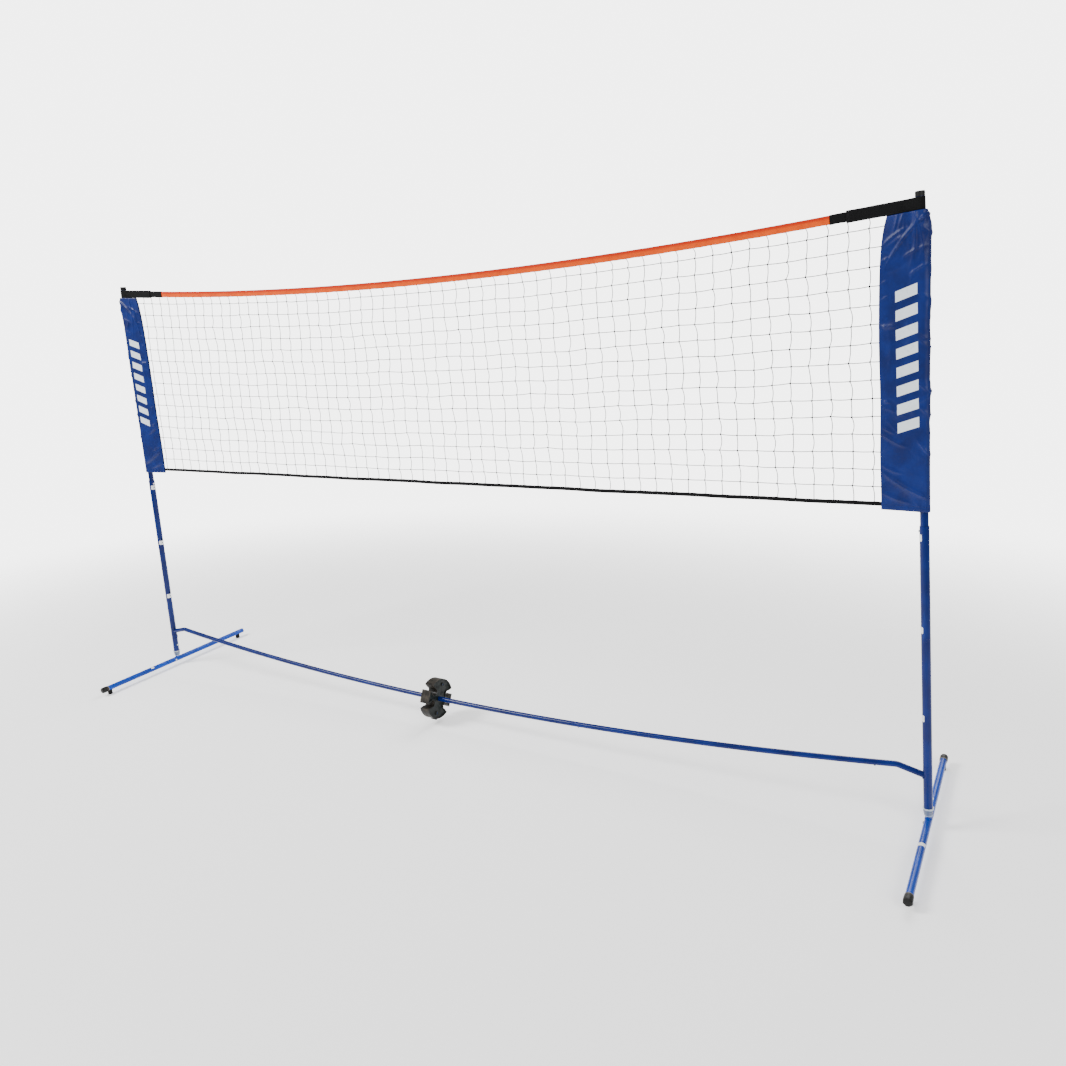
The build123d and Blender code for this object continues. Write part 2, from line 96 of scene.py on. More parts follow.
lamp("key_lamp", (-3.4, -2.8, 4.4), (0.2, 0, 0.7), 2.0, 420)
lamp("fill_lamp", (4.6, -3.4, 3.0), (0.6, 0, 0.6), 2.6, 150)
lamp("back_lamp", (0.5, 4.4, 4.0), (0, 0, 0.4), 3.4, 260)

# The air glows evenly, and brighter where it is seen straight, as an overexposed backdrop.
world = bpy.data.worlds.new("studio_air")
world.use_nodes = True
air = world.node_tree.nodes["Background"]
air.inputs["Color"].default_value = (1.0, 1.0, 1.0, 1)
seen_air = world.node_tree.nodes.new("ShaderNodeMapRange")
seen_air.inputs["To Min"].default_value = 0.55
seen_air.inputs["To Max"].default_value = 5.0
path = world.node_tree.nodes.new("ShaderNodeLightPath")
world.node_tree.links.new(path.outputs["Is Camera Ray"], seen_air.inputs["Value"])
world.node_tree.links.new(seen_air.outputs["Result"], air.inputs["Strength"])
bpy.context.scene.world = world


class Socket:
    """An output of a node. A sum written on it adds the Math nodes that work it out."""

    def __init__(self, finish, output):
        self.finish = finish
        self.output = output

    def math(self, operation, *terms):
        """The Math node of that operation on the terms."""
        sockets = dict(enumerate(terms))
        return self.finish.add("ShaderNodeMath", {"operation": operation}, sockets)

    def __add__(self, other):
        return self.math("ADD", self, other)

    def __radd__(self, other):
        return self.math("ADD", other, self)

    def __sub__(self, other):
        return self.math("SUBTRACT", self, other)

    def __rsub__(self, other):
        return self.math("SUBTRACT", other, self)

    def __mul__(self, other):
        return self.math("MULTIPLY", self, other)

    def __rmul__(self, other):
        return self.math("MULTIPLY", other, self)

    def __truediv__(self, other):
        return self.math("DIVIDE", self, other)

    def __abs__(self):
        return self.math("ABSOLUTE", self)

    def step(self, low, high):
        """0 below low and 1 above high, smooth between them."""
        sockets = {0: self, 1: low, 2: high}
        return self.finish.add("ShaderNodeMapRange", {"interpolation_type": "SMOOTHSTEP"}, sockets)

    def wave(self, length):
        """A sine that repeats every length."""
        return self.math("SINE", self * (2 * math.pi / length))


class Finish:
    """A material. add() puts in any node, with its settings, then its sockets' values or links."""

    def __init__(self, name, **fixed):
        self.material = bpy.data.materials.new(name)
        self.material.use_nodes = True
        self.tree = self.material.node_tree
        sockets = self.tree.nodes["Principled BSDF"].inputs
        self.sockets = {socket.name.replace(" ", "_").lower(): socket for socket in sockets}
        self.drive(**fixed)

    def set(self, place, value):
        """Links or sets one input socket."""
        if isinstance(value, Socket):
            self.tree.links.new(value.output, place)
        elif isinstance(value, tuple) and place.type == "RGBA":
            place.default_value = (*value, 1.0)
        else:
            place.default_value = value

    def add(self, kind, settings=None, sockets=None, output=0):
        node = self.tree.nodes.new(kind)
        for name, value in (settings or {}).items():
            if name == "stops":
                ramp = node.color_ramp
                ramp.elements.remove(ramp.elements[0])
                ramp.elements[0].position = value[0][0]
                ramp.elements[0].color = (*value[0][1], 1.0)
                for position, colour in value[1:]:
                    ramp.elements.new(position).color = (*colour, 1.0)
            else:
                setattr(node, name, value)
        for name, value in (sockets or {}).items():
            self.set(node.inputs[name], value)
        return Socket(self, node.outputs[output])

    def drive(self, **sockets):
        """Sets or links sockets of the material's own shader."""
        for name, value in sockets.items():
            self.set(self.sockets[name.lower()], value)

    def place(self):
        """The point on the piece, in metres."""
        return self.add("ShaderNodeTexCoord", output=3)

    def part(self, vector, axis):
        """One of a vector's three parts."""
        return self.add("ShaderNodeSeparateXYZ", {}, {0: vector}, "XYZ".index(axis))

    def noise(self, scale, detail=3.0, stretch=(1, 1, 1), vector=None):
        """Noise of that scale, per metre, with the place stretched first."""
        spot = vector or self.place()
        moved = self.add("ShaderNodeMapping", {}, {"Vector": spot, "Scale": stretch})
        sockets = {"Vector": moved, "Scale": scale, "Detail": detail}
        return self.add("ShaderNodeTexNoise", {}, sockets)

    def between(self, share, first, second):
        """Mix of two colours."""
        sockets = {0: share, 6: first, 7: second}
        return self.add("ShaderNodeMix", {"data_type": "RGBA", "clamp_factor": True}, sockets, 2)

    def bump(self, height, metres, strength=1.0):
        """Bump of a height from 0 to 1, that deep, into the shader's normal."""
        sockets = {"Height": height, "Distance": metres, "Strength": strength}
        self.drive(normal=self.add("ShaderNodeBump", {}, sockets))


def surface(name, *grids, ring=False, loop=False, capped=False, extra=None):
    """Mesh on grids of points, rows along the first index and columns along the second. ring joins
    the last column to the first, loop the last row to the first, and capped closes the end rows.
    The map lay holds metres along the rows and metres across them, each the sum of the grid's mean
    steps."""
    points, faces, lays, closing, start = [], [], [], [], 0
    for grid in grids:
        stack = np.asarray(grid, float)
        stack = stack.reshape(-1, *stack.shape[-3:])
        count, n, m = stack.shape[:3]
        i, j = np.meshgrid(
            np.arange(n if loop else n - 1), np.arange(m if ring else m - 1), indexing="ij"
        )
        row = np.stack([i, i, i + 1, i + 1], -1).reshape(-1, 4)
        column = np.stack([j, j + 1, j + 1, j], -1).reshape(-1, 4)
        base = start + np.arange(count)[:, None, None] * n * m
        faces.append((row % n * m + column % m + base).reshape(-1, 4))
        step_u = np.linalg.norm(np.roll(stack, -1, 1) - stack, axis=-1).mean((0, 2))
        step_v = np.linalg.norm(np.roll(stack, -1, 2) - stack, axis=-1).mean((0, 1))
        u = np.concatenate([[0], np.cumsum(step_u)])[row]
        v = np.concatenate([[0], np.cumsum(step_v)])[column]
        lays.append(np.tile(np.stack([u, v], -1).reshape(-1, 2), (count, 1)))
        if capped:
            first = start + np.arange(m)[::-1] + np.arange(count)[:, None] * n * m
            last = start + (n - 1) * m + np.arange(m) + np.arange(count)[:, None] * n * m
            closing += first.tolist() + last.tolist()
        points.append(stack.reshape(-1, 3))
        start += count * n * m
    faces = np.concatenate(faces)
    points = np.concatenate(points)
    mesh = bpy.data.meshes.new(name)
    mesh.from_pydata(points.tolist(), [], faces.tolist() + closing)
    spare = np.full((sum(len(c) for c in closing), 2), 0.02)
    layer = mesh.uv_layers.new(name="lay")
    layer.data.foreach_set("uv", np.concatenate(lays + [spare]).ravel())
    for key, values in (extra or {}).items():
        layer = mesh.uv_layers.new(name=key)
        chosen = np.asarray(values, float).reshape(-1, 2)[faces.ravel()]
        layer.data.foreach_set("uv", np.concatenate([chosen, spare]).ravel())
    mesh.polygons.foreach_set("use_smooth", [True] * len(mesh.polygons))
    mesh.set_sharp_from_angle(angle=math.radians(38))
    piece = bpy.data.objects.new(name, mesh)
    bpy.context.scene.collection.objects.link(piece)
    return piece


x_way, y_way, z_way = np.eye(3)


def carry(path, side, over, outline):
    """Profile carried along a path: each point is the path's point, plus the outline's first number
    times side, plus its second times over. The outline may be one, or one for each path point."""
    path = np.asarray(path, float)[..., :, None, :]
    side = np.asarray(side, float)
    over = np.asarray(over, float)
    side = side[..., :, None, :] if side.ndim > 1 else side
    over = over[..., :, None, :] if over.ndim > 1 else over
    outline = np.asarray(outline, float)
    return path + outline[..., 0:1] * side + outline[..., 1:2] * over


def finished(piece, finish, body, slot, *nodes):
    """Gives a piece its material and body, and hides the CAD nodes that it stands for. The slot is
    not used.
    """
    piece.data.materials.append(finish.material)
    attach(piece, body)
    if nodes:
        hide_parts(*nodes)
    return piece


def coat(finish, *names):
    """Puts a material on CAD nodes that stay as they are."""
    for name in names:
        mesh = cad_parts[name].data
        mesh.materials.clear()
        mesh.materials.append(finish.material)


def grained(name, first, second, smooth, rougher, depth, grain, **fixed):
    """A finish that goes from one colour to another, gets rougher and rises with one noise."""
    finish = Finish(name, **fixed)
    noise = finish.noise(*grain)
    finish.drive(
        base_color=finish.between(noise, first, second), roughness=smooth + rougher * noise
    )
    finish.bump(noise, depth)
    return finish


floor_finish = Finish(
    "pale_floor", roughness=0.9, specular_ior_level=0.1,
    emission_color=(1.0, 1.0, 1.0), emission_strength=0.45,
)
grain = floor_finish.noise(260.0)
floor_x = floor_finish.part(floor_finish.place(), "X") / 4.6
floor_y = floor_finish.part(floor_finish.place(), "Y") / 3.4
floor_finish.drive(
    base_color=floor_finish.between(grain, (0.93, 0.93, 0.93), (0.96, 0.96, 0.96)),
    alpha=1 - (floor_x * floor_x + floor_y * floor_y).step(0.12, 1.0),
)
reach = np.linspace(-6.0, 6.0, 9)
floor_x, floor_y = np.meshgrid(reach, reach, indexing="ij")
floor = surface("floor", np.stack([floor_x, -floor_y, 0 * floor_x], -1))
floor.data.materials.append(floor_finish.material)

# ---------------------------------------------------------------- foot bars
# Each pole stands in a straight steel tube that lies across the net. Tube and welded stub
# are powder-coated in a gloss blue, which leaves a fine orange peel and takes scuffs.
pole_foot = np.array([1.474, 0.0, 0.025])
lean = math.radians(2.9)
foot_r = 0.0095
stub_r = 0.008
stub_bead_r = 0.0013
arm_bead_r = 0.0016
weld_steps = 160
sides = {"left": -1, "right": 1}


def powder_coat(name, deep, light, gloss):
    """Gloss paint between two tints of blue, with orange peel, scuffs across it and rubbed
    patches."""
    paint = Finish(name, coat_roughness=0.18, specular_ior_level=0.15)
    peel = paint.noise(750.0, 2.0)
    clouds = paint.noise(14.0, 2.0)
    scuffs = paint.noise(60.0, 6.0, (1, 1, 0.12)).step(0.66, 0.74)
    rubs = paint.noise(26.0, 8.0).step(0.60, 0.78)
    blue = paint.between(clouds.step(0.3, 0.7), deep, light)
    blue = paint.between(scuffs * 0.35, blue, (0.005, 0.045, 0.26))
    paint.drive(
        base_color=blue,
        roughness=0.26 + 0.16 * rubs + 0.2 * scuffs,
        coat_weight=gloss * (1 - 0.7 * rubs),
    )
    paint.bump(peel + 0.6 * rubs, 0.00004)
    return paint


# The foot bars take a lighter copy of the poles' blue paint: painted light, standing in for the
# light that falls on them from above.
foot_coat_painted_lit = powder_coat("foot_powder_coat", (0.0010, 0.030, 0.25), (0.0020, 0.048, 0.36), 0.14)
coat(foot_coat_painted_lit, "left_foot_bar", "right_foot_bar")


def meeting(start, direction, r, pole_point, pole_direction, pole_r, count):
    """Ring where a tube of radius r meets another: on each line along the first tube's wall, the
    first root of the quadratic for the distance to the other's axis being its radius. Also the
    ring's own outward and lengthwise directions."""
    turn = np.linspace(0, 2 * math.pi, count, endpoint=False)[:, None]
    across = np.cross(direction, y_way)
    across /= np.linalg.norm(across)
    outward = np.cos(turn) * across + np.sin(turn) * np.cross(direction, across)
    wall = start + r * outward
    apart = wall - pole_point
    slant = direction - direction @ pole_direction * pole_direction
    flat = apart - (apart @ pole_direction)[:, None] * pole_direction
    half = flat @ slant / (slant @ slant)
    far = np.sqrt(half**2 - ((flat**2).sum(1) - pole_r**2) / (slant @ slant))
    ring = wall + (-half - far)[:, None] * direction
    return ring, outward, np.broadcast_to(direction, ring.shape)


def bead(ring, outward, along, r):
    """Weld bead: a circle of radius r carried round the ring, swelling a ninth at every ripple."""
    turn = np.linspace(0, 2 * math.pi, 10, endpoint=False)
    ripple = 1 + 0.11 * np.cos(np.arange(len(ring)) * math.pi / 2)
    circle = np.stack([np.cos(turn), np.sin(turn)], -1) * r
    return carry(ring, outward, -along, circle * ripple[:, None, None])


def pole_axes(side):
    """A pole's own directions: towards the net, across, and up the pole."""
    inward = np.array([-side * math.cos(lean), 0, -math.sin(lean)])
    upward = np.array([-side * math.sin(lean), 0, math.cos(lean)])
    return inward, np.cross(upward, inward), upward


def pole_x(z):
    """Distance of a pole's axis from mid span at height z: less by the tangent of the lean."""
    return pole_foot[0] - (z - pole_foot[2]) * math.tan(lean)


for name, side in sides.items():
    upward = pole_axes(side)[2]
    foot = pole_foot * [side, 1, 1]
    ring, outward, along = meeting(
        foot + 0.05 * upward, -upward, stub_r, foot, y_way, foot_r, weld_steps
    )
    # the stub welds wear the same lighter copy of the blue, painted light
    finished(
        surface(f"{name}_stub_weld", bead(ring, outward, along, stub_bead_r), ring=True, loop=True),
        foot_coat_painted_lit, "ground_frame", "tube_blue",
    )

# ---------------------------------------------------------------- foot ends and rivets
# The open tube ends wear black moulded caps with eight flats and a worn pale collar. The left
# bar's far end has a flush plug. Rubber pads lift the bars, and a zinc rivet holds each stub.
foot_half = 0.352
cap_length = 0.024

cap_finish = Finish("cap_plastic", specular_ior_level=0.2)
lengthwise = cap_finish.part(cap_finish.add("ShaderNodeUVMap", {"uv_map": "lay"}), "X")
collar_mask = 1 - lengthwise.step(0.0075, 0.0085)
bright_line = lengthwise.step(0.0008, 0.0012) * (1 - lengthwise.step(0.0019, 0.0023))
dust = cap_finish.noise(190.0, 6.0).step(0.5, 0.75)
black = cap_finish.between(dust * 0.4, (0.004, 0.004, 0.004), (0.025, 0.024, 0.022))
pale = cap_finish.between(dust, (0.035, 0.030, 0.026), (0.075, 0.068, 0.060))
worn = cap_finish.between(collar_mask, black, pale)
cap_finish.drive(
    base_color=cap_finish.between(bright_line, worn, (0.30, 0.29, 0.27)),
    roughness=0.42 + 0.3 * dust,
)
cap_finish.bump(cap_finish.noise(1400.0, 3.0), 0.00005)


def end_cap(foot, way):
    """Cap on a tube's end. Its radius at an angle is a mix of a circle and of an eight-sided
    figure, cos(22.5 deg) over the cosine of the angle to the nearest flat, times a profile of the
    length."""
    lengths = np.array([0, 0.2, 0.4, 1.0, 2.2, 2.6, 7.6, 8.0, 9.0, 20, 24.6, 25.8, 26.7, 27]) / 1000
    radii = np.array([
        9.6, 10.2, 10.5, 10.6, 10.6, 10.4, 10.4, 10.9, 11.2, 11.2, 11.0, 10.4, 9.2, 7.2
    ])
    turn = np.linspace(0, 2 * math.pi, 64, endpoint=False)
    eighth = math.pi / 8
    flats = math.cos(eighth) / np.cos((turn + eighth) % (2 * eighth) - eighth)
    share = np.clip((lengths - 0.008) / 0.003, 0, 1)[:, None]
    r = radii[:, None] / 1000 * (1 - share + share * flats)
    axis = way * y_way
    path = foot + (foot_half - cap_length + lengths)[:, None] * axis
    outline = np.stack([np.cos(turn) * r, np.sin(turn) * r], -1)
    return carry(path, z_way, np.cross(axis, z_way), outline)


feet = {name: pole_foot * [side, 1, 1] for name, side in sides.items()}
finished(
    surface(
        "end_caps",
        end_cap(feet["left"], -1), end_cap(feet["right"], -1), end_cap(feet["right"], 1),
        ring=True, capped=True,
    ),
    cap_finish, "ground_frame", "cap_black", "foot_end_caps",
)
plug_finish = Finish("plug_plastic", roughness=0.5, base_color=(0.0006, 0.016, 0.17))
plug_finish.bump(plug_finish.noise(900.0), 0.00005)
coat(plug_finish, "left_far_plug")

rubber_finish = Finish("foot_rubber", specular_ior_level=0.15)
chalk = rubber_finish.noise(120.0, 8.0).step(0.48, 0.8)
height = rubber_finish.part(rubber_finish.place(), "Z")
scrape = (1 - height.step(0.001, 0.007)) * chalk
soiled = 0.3 * chalk + 0.5 * scrape
rubber_finish.drive(
    base_color=rubber_finish.between(soiled, (0.004, 0.004, 0.004), (0.07, 0.068, 0.064)),
    roughness=0.68 + 0.25 * chalk,
)
rubber_finish.bump(rubber_finish.noise(1700.0, 4.0), 0.00009)
coat(rubber_finish, "rubber_feet")

zinc_finish = grained(
    "zinc_plate", (0.36, 0.36, 0.37), (0.62, 0.62, 0.6), 0.28, 0.25, 0.00003, (420.0, 5.0),
    metallic=1.0,
)
coat(zinc_finish, "foot_rivets")

# ---------------------------------------------------------------- collars
# A tapered cup of clear nylon carries each pole's lower end on the stub. The blue tube
# shows dark through its middle, and its rim is thick, so it is paler.
nylon_finish = Finish("clear_nylon", ior=1.53, subsurface_weight=0.15, subsurface_scale=0.003)
level_z = nylon_finish.part(nylon_finish.place(), "Z")
rim_mask = level_z.step(0.0575, 0.0605) + (1 - level_z.step(0.0405, 0.0430))
cloudy = nylon_finish.noise(160.0, 4.0)
body_tint = nylon_finish.between(cloudy, (0.060, 0.095, 0.19), (0.16, 0.21, 0.32))
nylon_finish.drive(
    base_color=nylon_finish.between(rim_mask, body_tint, (0.50, 0.56, 0.62)),
    roughness=0.22 + 0.2 * cloudy,
    coat_weight=0.4,
)
nylon_finish.bump(nylon_finish.noise(900.0), 0.00005)
coat(nylon_finish, "left_collar", "right_collar")

# ---------------------------------------------------------------- poles
# Each pole is a wide steel tube with a narrower one sliding in it, both powder-coated. Black
# plastic plugs close the tops.
blue_coat = powder_coat("blue_powder_coat", (0.0001, 0.006, 0.080), (0.0003, 0.012, 0.125), 0.14)
coat(blue_coat, "left_lower_pole", "right_lower_pole", "left_upper_pole", "right_upper_pole")
top_finish = Finish("top_cap_plastic", specular_ior_level=0.2)
top_mottle = top_finish.noise(300.0, 5.0)
top_finish.drive(
    base_color=top_finish.between(top_mottle, (0.003, 0.003, 0.0035), (0.012, 0.012, 0.012)),
    roughness=0.36 + 0.25 * top_mottle,
)
top_finish.bump(top_finish.noise(1500.0, 3.0), 0.00006)
coat(top_finish, "left_top_cap", "right_top_cap")

# ---------------------------------------------------------------- locks
# White nylon buttons snap through holes in the tubes at three heights, in the feet and in the
# bar. Folded spring-steel leaves behind them are hidden inside the tubes.
button_finish = Finish(
    "button_nylon", specular_ior_level=0.5, subsurface_weight=0.1, subsurface_scale=0.002
)
soil = button_finish.noise(500.0, 5.0).step(0.5, 0.8)
button_finish.drive(
    base_color=button_finish.between(soil, (0.82, 0.83, 0.84), (0.60, 0.58, 0.54)),
    roughness=0.34 + 0.3 * soil,
)
button_finish.bump(button_finish.noise(1300.0), 0.00003)
leaf_finish = grained(
    "spring_leaf_steel", (0.40, 0.40, 0.42), (0.60, 0.60, 0.60), 0.22, 0.2, 0.00002,
    (900.0, 3.0, (0.05, 1, 1)), metallic=1.0,
)
dull_finish = grained(
    "oiled_button_steel", (0.010, 0.022, 0.06), (0.035, 0.055, 0.11), 0.4, 0.2, 0.00002,
    (700.0, 4.0), metallic=0.5, specular_ior_level=0.2,
)
splice_finish = grained(
    "splice_steel", (0.34, 0.34, 0.35), (0.55, 0.55, 0.55), 0.3, 0.2, 0.00002,
    (700.0, 3.0, (0.04, 1, 1)), metallic=1.0,
)
coat(splice_finish, "bar_splices")
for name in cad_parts:
    if "button" in name:
        coat(dull_finish if "bar" in name else button_finish, name)
    if "spring" in name:
        coat(leaf_finish, name)

# ---------------------------------------------------------------- height labels
# A white vinyl label with one dark printed dot is stuck round the pole under each lock hole,
# with rounded corners and one corner beginning to lift.
pole_r = 0.011
label_levels = (0.310, 0.542, 0.774)
label_high = 0.017
label_turn = math.radians(65)

label_finish = Finish("label_vinyl", specular_ior_level=0.4)
spot = label_finish.add("ShaderNodeUVMap", {"uv_map": "print"})
spot_x = label_finish.part(spot, "X")
spot_y = label_finish.part(spot, "Y")
squared = spot_x * spot_x + spot_y * spot_y
from_dot = squared.math("SQRT", squared)
dot = 1 - from_dot.step(0.0024, 0.0027)
ink_line = abs(abs(spot_y) - 0.0062).step(0.0002, 0.00035)
handled = label_finish.noise(140.0, 6.0).step(0.45, 0.8)
paper = label_finish.between(handled * 0.6, (0.84, 0.85, 0.86), (0.55, 0.54, 0.52))
paper = label_finish.between((1 - ink_line) * 0.5, paper, (0.30, 0.32, 0.36))
label_finish.drive(
    base_color=label_finish.between(dot, paper, (0.03, 0.035, 0.05)), roughness=0.35 + 0.3 * handled
)
label_finish.bump(label_finish.noise(700.0), 0.00003)


def label(side, z):
    """Label on a pole: a patch of the cylinder just outside the pole, whose half height at its
    sides shrinks by the corner circle, and whose free corner lifts by the square of its
    distance."""
    inward, across, upward = pole_axes(side)
    middle = pole_foot * [side, 1, 1] + (z - pole_foot[2]) / math.cos(lean) * upward
    turn = np.linspace(-label_turn, label_turn, 41)[None, :]
    share = np.linspace(-1, 1, 21)[:, None]
    near_side = np.clip(abs(turn) * pole_r - (label_turn * pole_r - 0.002), 0, None)
    half = label_high / 2 - 0.002 + np.sqrt(np.clip(0.002**2 - near_side**2, 0, None))
    up_by = share * half
    lift = 0.0004 * np.clip(share * turn / label_turn - 0.55, 0, 1) ** 2
    r = pole_r + 0.00022 + lift
    points = (
        middle
        + (r * np.cos(turn))[..., None] * inward
        + (r * np.sin(turn))[..., None] * across
        + up_by[..., None] * upward
    )
    return points, np.stack([turn * pole_r + 0 * up_by, up_by], -1)


labels = [label(side, z) for side in sides.values() for z in label_levels]
label_piece = surface(
    "pole_labels", *(points for points, _ in labels),
    extra={"print": np.stack([places for _, places in labels])},
)
thick = label_piece.modifiers.new("vinyl", "SOLIDIFY")
thick.thickness = 0.00012
finished(label_piece, label_finish, "ground_frame", "label_white", "height_labels")
patch_finish = Finish("foot_label_vinyl")
patch_soil = patch_finish.noise(160.0, 6.0)
dulled = patch_soil.step(0.4, 0.8)
patch_finish.drive(
    base_color=patch_finish.between(dulled, (0.82, 0.82, 0.82), (0.6, 0.58, 0.55)),
    roughness=0.35 + 0.3 * patch_soil,
)
patch_finish.bump(patch_soil, 0.00003)
coat(patch_finish, "foot_labels")

# ---------------------------------------------------------------- ground bar
# A bowed steel bar of five tubes ties the poles together. Its end tubes bend down and are
# welded to the poles, and the others plug together on hidden splices with snap buttons.
bar_r = 0.008
arm_fall = math.radians(14)
bow_low = 0.0866
bow_r = 12.048
bend_x = 1.388
bend_r = 0.035
half_seam = 0.0001
end_draw = 0.0006
arm_short = 1.6
arm_sunk = 0.0006
weld_out = 0.0005
weld_back = 0.03
arm_tip_run = 0.0235


def bow_z(x):
    """Height of the bar's axis: its lowest height plus the rise of a circle of radius bow_r."""
    return bow_low + bow_r - np.sqrt(bow_r**2 - x**2)


def bow_line(start_x, end_x):
    """Points of the bow's axis between two places, evenly apart."""
    x = np.linspace(start_x, end_x, 90)
    return np.stack([x, 0 * x, bow_z(x)], -1)


def arm_line(side, end_x):
    """Axis of an arm from its seam to its pole: the bow, an arc of radius bend_r that turns it from
    the bow's slope to the arm's, and a straight end that stops short of the pole."""
    slope = math.asin(bend_x / bow_r)
    turn = np.linspace(slope, -arm_fall, 16)[1:]
    centre_x = bend_x + bend_r * math.sin(slope)
    centre_z = bow_z(bend_x) - bend_r * math.cos(slope)
    arc_x = centre_x - bend_r * np.sin(turn)
    arc = np.stack([arc_x, 0 * turn, centre_z + bend_r * np.cos(turn)], -1)
    x, _, z = arc[-1]
    closing_in = math.cos(arm_fall) - math.sin(arm_fall) * math.tan(lean)
    run = (pole_x(z) - x) / closing_in - arm_short * pole_r
    tip = arc[-1] + run * np.array([math.cos(arm_fall), 0, -math.sin(arm_fall)])
    line = np.concatenate([bow_line(end_x, bend_x), arc, np.linspace(arc[-1], tip, 8)[1:]])
    return line * [side, 1, 1]


def bar_tube(line):
    """Tube on a line: its circle stands square to the line, and its two end rings draw in."""
    way = np.gradient(line, axis=0)
    way /= np.linalg.norm(way, axis=1)[:, None]
    first_in = line[:1] + end_draw * way[:1]
    last_in = line[-1:] - end_draw * way[-1:]
    line = np.concatenate([line[:1], first_in, line[1:-1], last_in, line[-1:]])
    way = np.concatenate([way[:1], way, way[-1:]])
    turn = np.linspace(0, 2 * math.pi, 40, endpoint=False)
    r = np.full(len(line), bar_r)
    r[[0, -1]] -= end_draw
    outline = np.stack([np.cos(turn), np.sin(turn)], -1) * r[:, None, None]
    return carry(line, np.broadcast_to(y_way, line.shape), np.cross(way, y_way), outline)


seams = (-0.996, -0.079, 0.443, 1.318)
bar_lines = {
    "left_arm": arm_line(-1, -seams[0] + half_seam),
    "bar_left": bow_line(seams[0] + half_seam, seams[1] - half_seam),
    "bar_middle": bow_line(seams[1] + half_seam, seams[2] - half_seam),
    "bar_right": bow_line(seams[2] + half_seam, seams[3] - half_seam),
    "right_arm": arm_line(1, seams[3] + half_seam),
}
for name, line in bar_lines.items():
    rows = bar_tube(line)
    if name.endswith("arm"):
        # the arm's end is the curve where it meets the pole's wall, closed by ever smaller ones
        side = sides[name.split("_")[0]]
        toward = line[-1] - line[-2]
        toward /= np.linalg.norm(toward)
        closing = [
            meeting(
                line[-1], toward, bar_r * share, pole_foot * [side, 1, 1], pole_axes(side)[2],
                pole_r - arm_sunk, 40,
            )[0]
            for share in (1, 0.97, 0.7, 0.4, 0.1)
        ]
        rows = np.concatenate([rows[:-2], np.roll(closing, 10, axis=1)])
    tube = surface(f"{name}_tube", rows, ring=True, capped=True)
    finished(tube, blue_coat, "ground_frame", "tube_blue", name)
for name, side in sides.items():
    inward, _, upward = pole_axes(side)
    foot = pole_foot * [side, 1, 1]
    low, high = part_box(f"{name}_arm")
    toward = np.array([side * math.cos(arm_fall), 0, -math.sin(arm_fall)])
    tip = max(low[0] * side, high[0] * side)
    start_z = low[2] + bar_r + arm_tip_run * math.tan(arm_fall)
    start = np.array([side * (tip - weld_back), 0, start_z])
    ring, outward, along = meeting(
        start, toward, bar_r, foot, upward, pole_r + weld_out, weld_steps
    )
    finished(
        surface(f"{name}_arm_weld", bead(ring, outward, along, arm_bead_r), ring=True, loop=True),
        blue_coat, "ground_frame", "tube_blue",
    )

# ---------------------------------------------------------------- tube clip
# A four-lobed moulded disc in two halves is screwed together round the bar. Its notches take
# the tubes when the net is packed. The faces are dark and the worn rim has gone brown.
clip_finish = Finish("clip_plastic", specular_ior_level=0.18)
facing = clip_finish.add("ShaderNodeNewGeometry", {}, {}, 1)
side_face = abs(clip_finish.part(facing, "X")).step(0.75, 0.95)
speckle = clip_finish.noise(260.0, 8.0)
wear = clip_finish.noise(46.0, 7.0).step(0.40, 0.72)
face_tint = clip_finish.between(
    speckle.step(0.35, 0.75), (0.0006, 0.0022, 0.0020), (0.0035, 0.0085, 0.0075)
)
rim_tint = clip_finish.between(wear, (0.010, 0.009, 0.0075), (0.052, 0.044, 0.035))
clip_finish.drive(
    base_color=clip_finish.between(side_face, rim_tint, face_tint),
    roughness=0.40 + 0.35 * wear,
)
clip_finish.bump(speckle + 0.4 * clip_finish.noise(1500.0, 2.0), 0.00009)


def rounded_copy(node, width):
    """A node's shape as one welded mesh, with a bevel of that width on its edges."""
    form = bmesh.new()
    form.from_mesh(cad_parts[node].data)
    bmesh.ops.remove_doubles(form, verts=form.verts, dist=0.00002)
    flat_enough = math.radians(1.5)
    bmesh.ops.dissolve_limit(
        form, angle_limit=flat_enough, verts=form.verts, edges=form.edges
    )
    mesh = bpy.data.meshes.new(f"{node}_moulded")
    form.to_mesh(mesh)
    form.free()
    piece = bpy.data.objects.new(f"{node}_moulded", mesh)
    bpy.context.scene.collection.objects.link(piece)
    bevel = piece.modifiers.new("moulded_edge", "BEVEL")
    bevel.width = width
    bevel.segments = 2
    bevel.limit_method = "ANGLE"
    bevel.angle_limit = math.radians(42)
    mesh.polygons.foreach_set("use_smooth", [True] * len(mesh.polygons))
    mesh.set_sharp_from_angle(angle=math.radians(30))
    return piece


for half in ("clip_left_half", "clip_right_half"):
    finished(rounded_copy(half, 0.0005), clip_finish, "tube_clip", "clip_black", half)
coat(dull_finish, "clip_screws")

# ---------------------------------------------------------------- top tape
# The headline is a woven orange tape folded over a white cord and sewn along its lower edge,
# where it nips the top of the net. Black tape carries it on into the end straps.
tape_low = 1.4659
tape_r = 15.873
tape_ends_x = (-1.345, -1.178, 1.207, 1.345)


def tape_z(x):
    """Height of the tape's middle: its lowest height plus the rise of a circle of radius tape_r."""
    return tape_low + tape_r - np.sqrt(tape_r**2 - x**2)


def even(outline, count):
    """The outline's points moved to be evenly spaced along it."""
    gaps = np.linalg.norm(np.diff(outline, axis=0), axis=1)
    run = np.concatenate([[0], np.cumsum(gaps)])
    spots = np.linspace(0, run[-1], count)
    return np.stack([np.interp(spots, run, outline[:, k]) for k in range(2)], -1)


